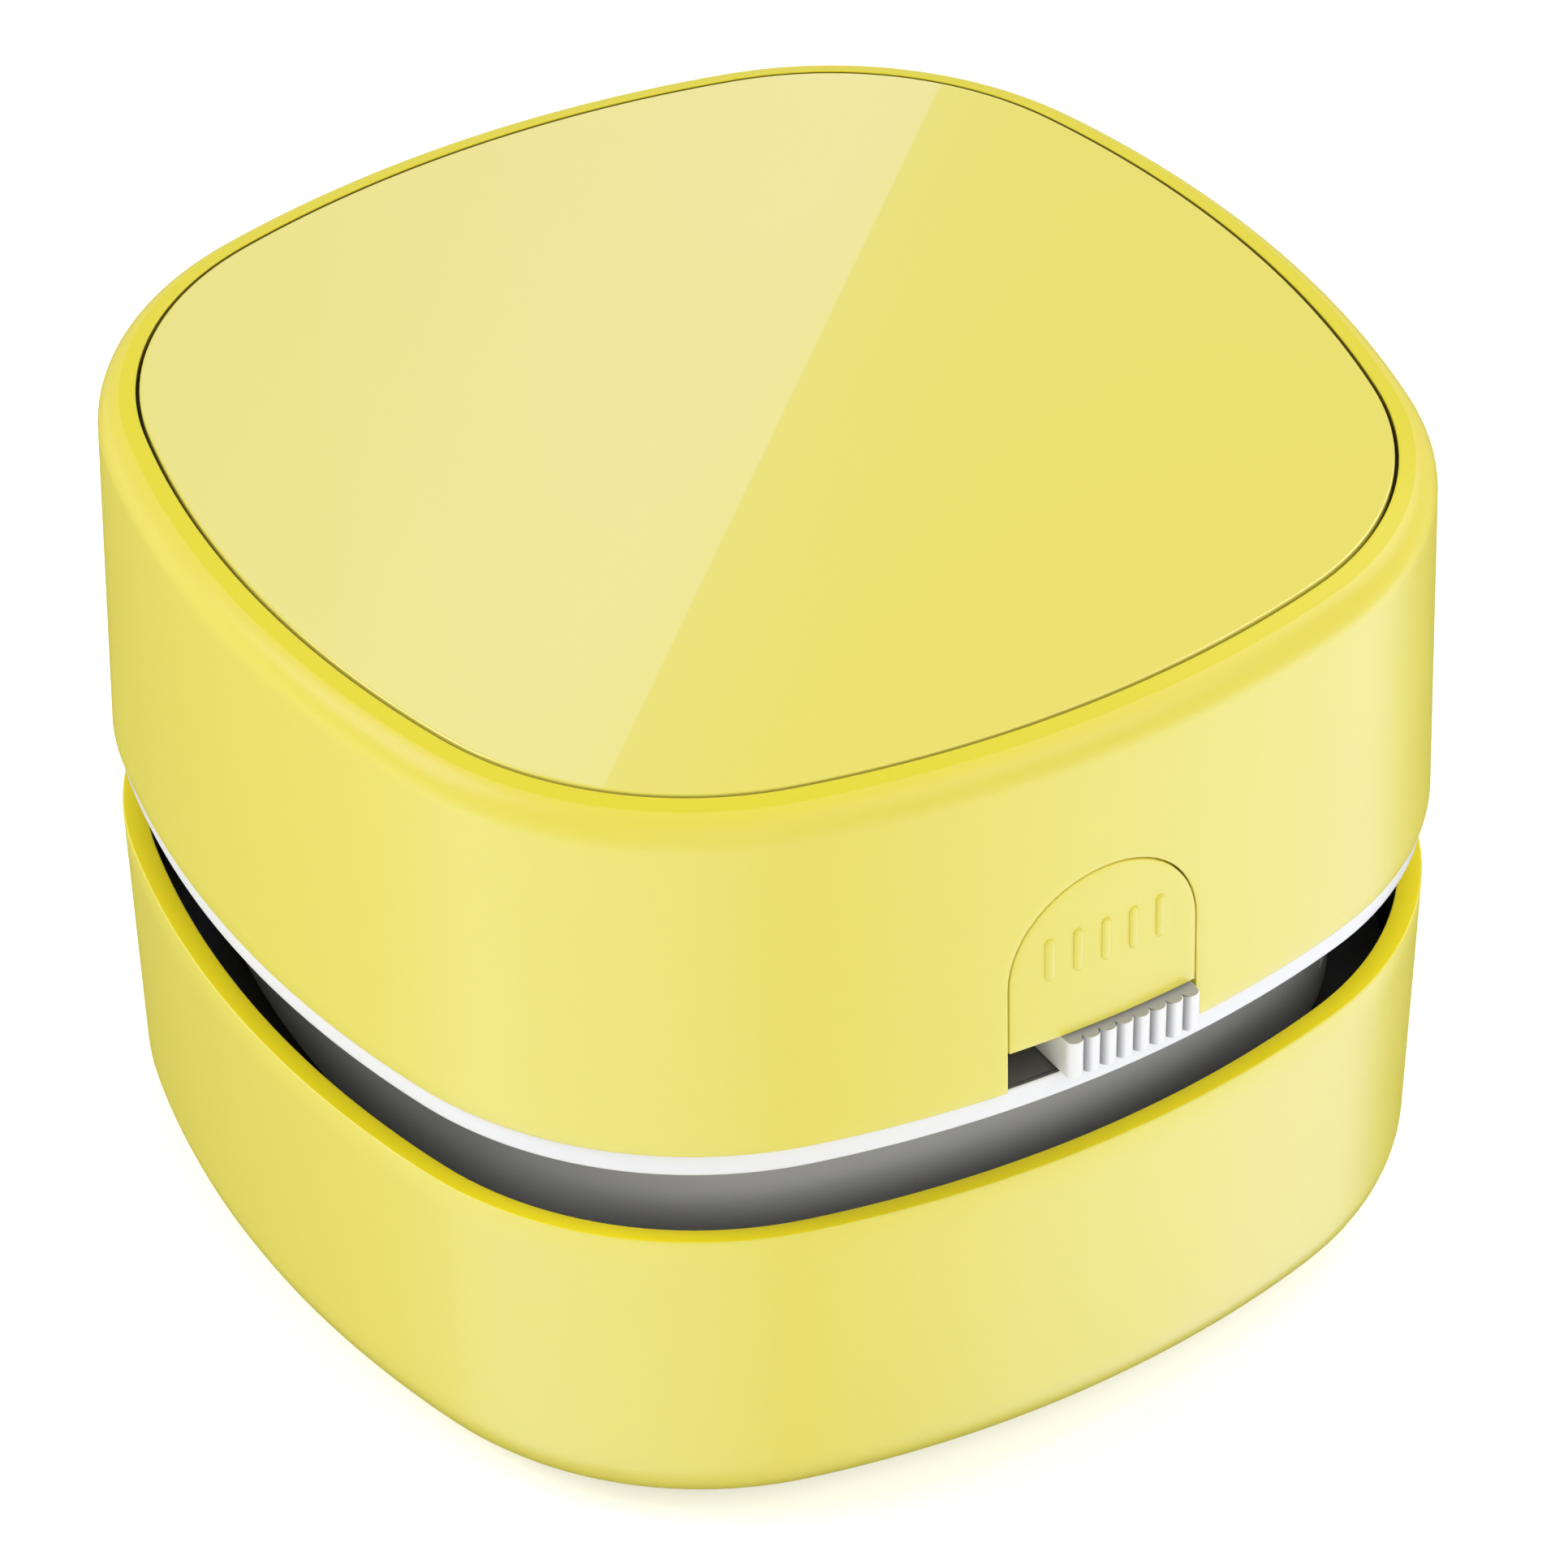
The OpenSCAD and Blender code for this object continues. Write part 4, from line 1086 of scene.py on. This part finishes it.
class DESKVAC_OT_tab(bpy.types.Operator):
    """Build the release tab: arched front flush with the wall, flange, hooks, guide pins and its press mark"""

    bl_idname = "deskvac.build_tab"
    bl_label = "Release tab"

    def execute(self, context):
        patches = tab_front(context.scene.deskvac_housing.window_r / MM) + tab_flange()
        patches += tab_fittings(-1) + tab_fittings(1)
        make_piece("tab_skin", patches, ["wall yellow"], "release_tab", ["release_tab"], sharp=40)
        self.press_mark(context.scene.deskvac_trim.mark_stroke / MM)
        return {"FINISHED"}

    def press_mark(self, stroke):
        """A row of five upright bars, raised with rounded edges: a plain grip mark where the thumb presses."""
        patches = []
        a = np.linspace(0, 2 * np.pi, 33)[:-1]
        for i in range(5):
            rings = []
            for inset, lift in [(0, -0.05), (0, 0.08), (0.03, 0.14), (0.1, 0.18), (0.2, 0.2)]:
                r = stroke / 2 - inset
                x = MARK_PITCH * (i - 2) + r * np.cos(a)
                z = MARK_Z + r * np.sin(a) + (MARK_HALF - stroke / 2) * np.where(a < np.pi, 1, -1)
                rings.append(np.column_stack([x, front_face(x, z, wall_offset) - lift, z]))
            patches += [sheet(np.stack(rings), wrap=True), one_face(rings[0]), one_face(rings[-1])]
        make_piece("press_mark", patches, ["wall yellow"], "release_tab", sharp=60)


class DESKVAC_OT_spring(bpy.types.Operator):
    """Wind the small spring behind the tab, which shortens as the tab is pressed"""

    bl_idname = "deskvac.build_spring"
    bl_label = "Tab spring"

    def execute(self, context):
        lo, hi = low("tab_spring"), high("tab_spring")
        wire, turns, sides = 0.3, 3, 12
        radius, middle = (hi[0] - lo[0]) / 2 - wire, (lo[2] + hi[2]) / 2
        u = np.linspace(0, 1, 32 * turns + 1)[:, None]
        a, b = 2 * np.pi * turns * u, 2 * np.pi * np.arange(sides)[None] / sides
        r = radius + wire * np.cos(b)
        y = lo[1] + wire + (hi[1] - lo[1] - 2 * wire) * u + wire * np.sin(b)
        coil = np.stack([r * np.cos(a), y, middle - r * np.sin(a)], -1)
        obj = make_piece("spring_coil", [sheet(coil, wrap=True), one_face(coil[0]), one_face(coil[-1])],
                         ["spring wire"], None, ["tab_spring"], sharp=60)
        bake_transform(obj)
        return {"FINISHED"}


class DESKVAC_OT_slider(bpy.types.Operator):
    """Build the power slider's thumb piece: upright ribs on a rounded block, with its tongue"""

    bl_idname = "deskvac.build_slider"
    bl_label = "Power slider"

    def execute(self, context):
        ribs = context.scene.deskvac_trim.rib_count
        (x0, y0, z0), (x1, y2, z1) = low("slider_thumb"), high("slider_thumb")
        back = -HALF + 4.0
        pitch = (x1 - x0) / ribs
        # plan: a row of half ovals across the front, straight sides and back with rounded corners
        a = np.linspace(np.pi, 2 * np.pi, 21)[:-1]
        depth, corner_r = 0.9 * pitch / 2, 0.3
        oval = on_rays(1.0, a) * [pitch / 2, depth]
        front = np.concatenate([oval + [x0 + pitch * (i + 0.5), y0 + depth] for i in range(ribs)])
        corners = [on_rays(corner_r, np.linspace(0, np.pi / 2, 6) + start) + [x, back - corner_r]
                   for x, start in [(x1 - corner_r, 0), (x0 + corner_r, np.pi / 2)]]
        plan = np.concatenate([front, [[x1, y0 + pitch / 2]], *corners, [[x0, y0 + pitch / 2 + 0.05]]])
        step = np.roll(plan, -1, 0) - np.roll(plan, 1, 0)
        out = np.column_stack([step[:, 1], -step[:, 0]])
        out /= np.linalg.norm(out, axis=1)[:, None]
        foot_r, top_r = 0.1, 0.07
        ease = np.radians([0, 25, 50, 75, 90])
        profile = [(-foot_r + foot_r * math.sin(t), z0 + foot_r - foot_r * math.cos(t)) for t in ease]
        profile += [(-top_r + top_r * math.cos(t), z1 - top_r + top_r * math.sin(t)) for t in ease]
        *patches, top = tower(lambda d: plan + out * d, profile)
        # the top lid takes the grey of painted shade
        patches.append((*top[:2], 1))
        middle, tongue_z = (x0 + x1) / 2, z0 + 0.6
        patches += soft_block((middle - 1.3, back - 0.4, tongue_z), (middle + 1.3, y2, tongue_z + 1.6), 0.15)
        make_piece("slider_skin", patches, ["slider white", "slider grey"], "power_slider",
                   ["slider_thumb"], sharp=50)
        return {"FINISHED"}


class DESKVAC_OT_bristles(bpy.types.Operator):
    """Plant the brush: a ring of tufts, each a bundle of tapered filaments that splay towards the desk"""

    bl_idname = "deskvac.build_bristles"
    bl_label = "Bristles"

    def execute(self, context):
        trim = context.scene.deskvac_trim
        count = trim.filaments
        z_tip, z_root = low("brush_tufts")[2] + 0.02, high("brush_tufts")[2]
        rng = np.random.default_rng(7)
        # a filament: rings of points along an arc that leans outwards from its root and stays in its tuft
        levels, corners = 5, 6
        k = np.arange(count) + 0.5
        root = on_rays(1.0, k * GOLDEN) * (PACK_R * np.sqrt(k / count))[:, None]
        centre = circle(TUFT_RING, TUFTS)
        sway = rng.normal(0, 0.10, (TUFTS, count, 2))
        length = rng.uniform(0.0, 0.12, (TUFTS, count))
        u = np.linspace(0, 1, levels)
        lean = root[None] * (trim.splay / MM) / PACK_R * 0.6 + sway
        mid = centre[:, None, None] + root[None, :, None] + lean[:, :, None] * (u**2)[None, None, :, None]
        z = z_root + (z_tip - z_root) * u[None, None] + length[..., None] * u[None, None] ** 3
        thick = 0.075 * (1 - 0.45 * u**3)
        xy = mid[:, :, :, None] + circle(1.0, corners)[None, None, None] * thick[None, None, :, None, None]
        out = xy - centre[:, None, None, None]
        out *= np.minimum(1, TUFT_R / np.linalg.norm(out, axis=-1, keepdims=True))
        xy = centre[:, None, None, None] + out
        points = np.concatenate([xy, np.broadcast_to(z[..., None, None], (*xy.shape[:-1], 1))], -1)
        per = levels * corners
        starts = np.arange(TUFTS * count)[:, None] * per
        sides = (np.array(grid_faces(levels, corners, True))[None] + starts[:, None]).reshape(-1, 4).tolist()
        tips = (np.arange(per - corners, per)[None] + starts).tolist()
        roots = (np.arange(corners)[::-1][None] + starts).tolist()
        make_piece("bristle_ring", [(points.reshape(-1, 3), sides + tips + roots, 0)], ["bristle nylon"],
                   "dust_bin", ["brush_tufts"], sharp=60)
        return {"FINISHED"}


class DESKVAC_OT_dress(bpy.types.Operator):
    """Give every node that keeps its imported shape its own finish"""

    bl_idname = "deskvac.dress_frame"
    bl_label = "Dress the frame"

    def execute(self, context):
        for finish, nodes in NODE_FINISH.items():
            for node in nodes:
                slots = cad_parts[node].data.materials
                slots.clear()
                slots.append(material(finish))
        return {"FINISHED"}


# ---------------------------------------------------------------- studio

AZIMUTH, ELEVATION, ROLL = -31.492, 37.693, -0.633
DISTANCE, AIM_X, AIM_Y, AIM_Z = 528.83, 1.104, 5.24, 21.97
LENS = 173.62

# Lamps, in metres: name, place, width and height, the setting that holds the power, and whether gloss mirrors it
LAMPS = [
    ("left softbox", (-0.741, 0.428, 0.798), (0.7, 0.7), "left", True),
    ("front softbox", (0.428, -0.741, 0.798), (0.7, 0.7), "front", True),
    ("right softbox", (0.852, 0.105, 0.798), (0.7, 0.7), "right", True),
    ("fill", (-0.414, -0.888, 0.53), (0.7, 0.7), "fill", False),
    ("left rim", (-0.469, 0.883, 0.1), (0.6, 0.16), "left_rim", False),
    ("right rim", (0.956, 0.292, 0.1), (0.6, 0.16), "right_rim", False),
]
LAMP_AIM = (0, 0, 0.03)

# Pools of light that gloss mirrors: direction in plan and spread, in degrees
LEFT_POOL, RIGHT_POOL = (205, 68), (319, 52)
WIDE_POOL, WIDE_SHARE = (215, 150), 0.4
POOL_TINT = (0.55, 0.62, 1.0)

# The bright card behind, in metres: its middle, the direction of its lit edge and the one across it
CARD_MIDDLE = np.array([0.3844, 0.6282, 0.5791])
CARD_EDGE = np.array([-0.6639, -0.2363, 0.7095])
CARD_SIDE = np.array([-0.6232, 0.6992, -0.3503])
CARD_HALF, CARD_WIDTH, CARD_FADE = 0.2, 0.2, 0.13
CARD_TINT = (0.45, 0.5, 1)

FLOOR_HALF = 6
FLOOR_GLOW = 0.45


def camera_matrix():
    """Camera's place from its azimuth, elevation, roll and distance, moved sideways by the aim's offset."""
    a, e, r = (math.radians(v) for v in (AZIMUTH, ELEVATION, ROLL))
    back = Vector((math.sin(a) * math.cos(e), -math.cos(a) * math.cos(e), math.sin(e)))
    level = Vector((math.cos(a), math.sin(a), 0))
    rise = back.cross(level)
    right = level * math.cos(r) + rise * math.sin(r)
    up = -level * math.sin(r) + rise * math.cos(r)
    m = Matrix((right, up, back)).transposed().to_4x4()
    m.translation = (back * DISTANCE + right * AIM_X + up * AIM_Y + Vector((0, 0, AIM_Z))) * MM
    return m


def area_light(name, place, size, power, mirrored):
    """A soft rectangular light at a place, turned to face the object."""
    data = bpy.data.lights.new(name, "AREA")
    data.shape, data.size, data.size_y, data.energy = "RECTANGLE", *size, power
    obj = placed(name, data)
    away = (Vector(place) - Vector(LAMP_AIM)).normalized()
    obj.matrix_world = Matrix.Translation(place) @ away.to_track_quat("Z", "Y").to_matrix().to_4x4()
    obj.visible_glossy = mirrored


def flat_piece(name, points, look):
    """A stage piece of one face, with its material."""
    mesh = bpy.data.meshes.new(name)
    mesh.from_pydata(points, [], [(0, 1, 2, 3)])
    mesh.materials.append(look)
    obj = placed(name, mesh)
    return obj


def floor_material(colour):
    """Pale floor that keeps the contact shadow and reads as white to the camera."""
    m, t, p = new_material("pale floor")
    grain = noise(t, object_place(t), 30.0)
    path = t.nodes.new("ShaderNodeLightPath").outputs
    put_all(t, p, {"Base Color": tinted(t, grain, np.array(colour) * 0.99, colour), "Roughness": 0.9,
                   "Specular IOR Level": 0.0, "Emission Color": (1, 1, 1, 1),
                   "Emission Strength": times(t, path["Is Camera Ray"], FLOOR_GLOW)})
    return m


def studio_world(ambient, strength):
    """Even light from all round. Gloss mirrors two soft pools of light low at the left and at the front right,
    as from softboxes that stand on the floor, and little from behind."""
    world = bpy.data.worlds.new("studio")
    world.use_nodes = True
    t = world.node_tree
    x, y, z = axes(t, t.nodes.new("ShaderNodeTexCoord").outputs["Generated"])
    length = plan_length(t, x, y)
    pools = plus(t, pool(t, x, y, length, *LEFT_POOL), pool(t, x, y, length, *RIGHT_POOL))
    glow = plus(t, times(t, pools, strength), times(t, pool(t, x, y, length, *WIDE_POOL), WIDE_SHARE))
    down = times(t, z, -1.0)
    glow = times(t, glow, ramped(t, down, 0.78, 0.96, 1.0, 0.1))
    path = t.nodes.new("ShaderNodeLightPath").outputs
    below = times(t, ramped(t, down, 0.15, 0.45), path["Is Glossy Ray"])
    even = plus(t, times(t, path["Is Camera Ray"], 1.0 - ambient), ambient)
    level = add(t, "ShaderNodeMix", below, data_type="FLOAT", A=even, B=glow).outputs[0]
    put_all(t, t.nodes["Background"], {"Color": mixed(t, below, (1, 1, 1), POOL_TINT), "Strength": level})
    return world


def back_card(strength):
    """A bright card behind and above, brightest along the edge that the top panel mirrors as a straight line."""
    m, t, _ = new_material("card light")
    out = add(t, "ShaderNodeVectorMath", object_place(t), tuple(CARD_MIDDLE), operation="SUBTRACT").outputs[0]
    depth = add(t, "ShaderNodeVectorMath", out, tuple(CARD_SIDE), operation="DOT_PRODUCT").outputs["Value"]
    fade = ramped(t, depth, 0.0, CARD_FADE, 1.0, 0.5, way="LINEAR")
    glow = add(t, "ShaderNodeEmission", Color=(*CARD_TINT, 1), Strength=times(t, fade, strength))
    t.links.new(glow.outputs[0], t.nodes["Material Output"].inputs["Surface"])
    corners = [(-CARD_HALF, 0), (CARD_HALF, 0), (CARD_HALF, CARD_WIDTH), (-CARD_HALF, CARD_WIDTH)]
    points = [(CARD_MIDDLE + u * CARD_EDGE + v * CARD_SIDE).tolist() for u, v in corners]
    card = flat_piece("back_card", points, m)
    card.visible_camera = False


class DESKVAC_OT_stage(bpy.types.Operator):
    """Set the floor, the surrounding light, the lamps, the card and the camera"""

    bl_idname = "deskvac.build_stage"
    bl_label = "Studio"

    def execute(self, context):
        scene, studio = context.scene, context.scene.deskvac_studio
        scene.view_settings.view_transform = "Standard"
        corners = [(-1, -1), (1, -1), (1, 1), (-1, 1)]
        floor = flat_piece("floor", [(FLOOR_HALF * x, FLOOR_HALF * y, 0) for x, y in corners],
                           floor_material(tuple(studio.floor_colour)))
        floor.visible_glossy = False
        scene.world = studio_world(studio.ambient, studio.pool)
        for name, place, size, setting, mirrored in LAMPS:
            area_light(name, place, size, getattr(studio, setting), mirrored)
        back_card(studio.card)
        camera = placed("camera", bpy.data.cameras.new("camera"))
        camera.data.sensor_width, camera.data.lens, camera.data.clip_end = 36.0, LENS, 20.0
        camera.matrix_world = camera_matrix()
        scene.camera = camera
        return {"FINISHED"}


# ---------------------------------------------------------------- panel and registration

STEPS = ("build_cover", "build_panel", "build_bin", "build_ring", "build_neck", "build_tab", "build_spring",
         "build_slider", "build_bristles", "dress_frame", "build_stage")


class DESKVAC_PT_sidebar(bpy.types.Panel):
    """Sizes, studio settings and the steps that build the looks"""

    bl_idname = "DESKVAC_PT_sidebar"
    bl_label = "Desk Vacuum"
    bl_space_type = "VIEW_3D"
    bl_region_type = "UI"
    bl_category = "Desk Vacuum"

    def draw(self, context):
        for title in ("Housing", "Trim", "Studio"):
            box = self.layout.box()
            box.label(text=title)
            values = getattr(context.scene, "deskvac_" + title.lower())
            for prop in values.bl_rna.properties:
                if prop.identifier not in {"rna_type", "name"}:
                    box.prop(values, prop.identifier)
        for step in STEPS:
            self.layout.operator("deskvac." + step)


CLASSES = (
    HousingSizes, TrimSizes, StudioSettings, DESKVAC_OT_cover, DESKVAC_OT_panel, DESKVAC_OT_bin, DESKVAC_OT_ring,
    DESKVAC_OT_neck, DESKVAC_OT_tab, DESKVAC_OT_spring, DESKVAC_OT_slider, DESKVAC_OT_bristles, DESKVAC_OT_dress,
    DESKVAC_OT_stage, DESKVAC_PT_sidebar,
)


def register():
    for cls in CLASSES:
        bpy.utils.register_class(cls)
    bpy.types.Scene.deskvac_housing = bpy.props.PointerProperty(type=HousingSizes)
    bpy.types.Scene.deskvac_trim = bpy.props.PointerProperty(type=TrimSizes)
    bpy.types.Scene.deskvac_studio = bpy.props.PointerProperty(type=StudioSettings)


def unregister():
    del bpy.types.Scene.deskvac_studio
    del bpy.types.Scene.deskvac_trim
    del bpy.types.Scene.deskvac_housing
    for cls in reversed(CLASSES):
        bpy.utils.unregister_class(cls)


def main():
    """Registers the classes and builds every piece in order."""
    register()
    for step in STEPS:
        getattr(bpy.ops.deskvac, step)()


if __name__ == "__main__":
    main()
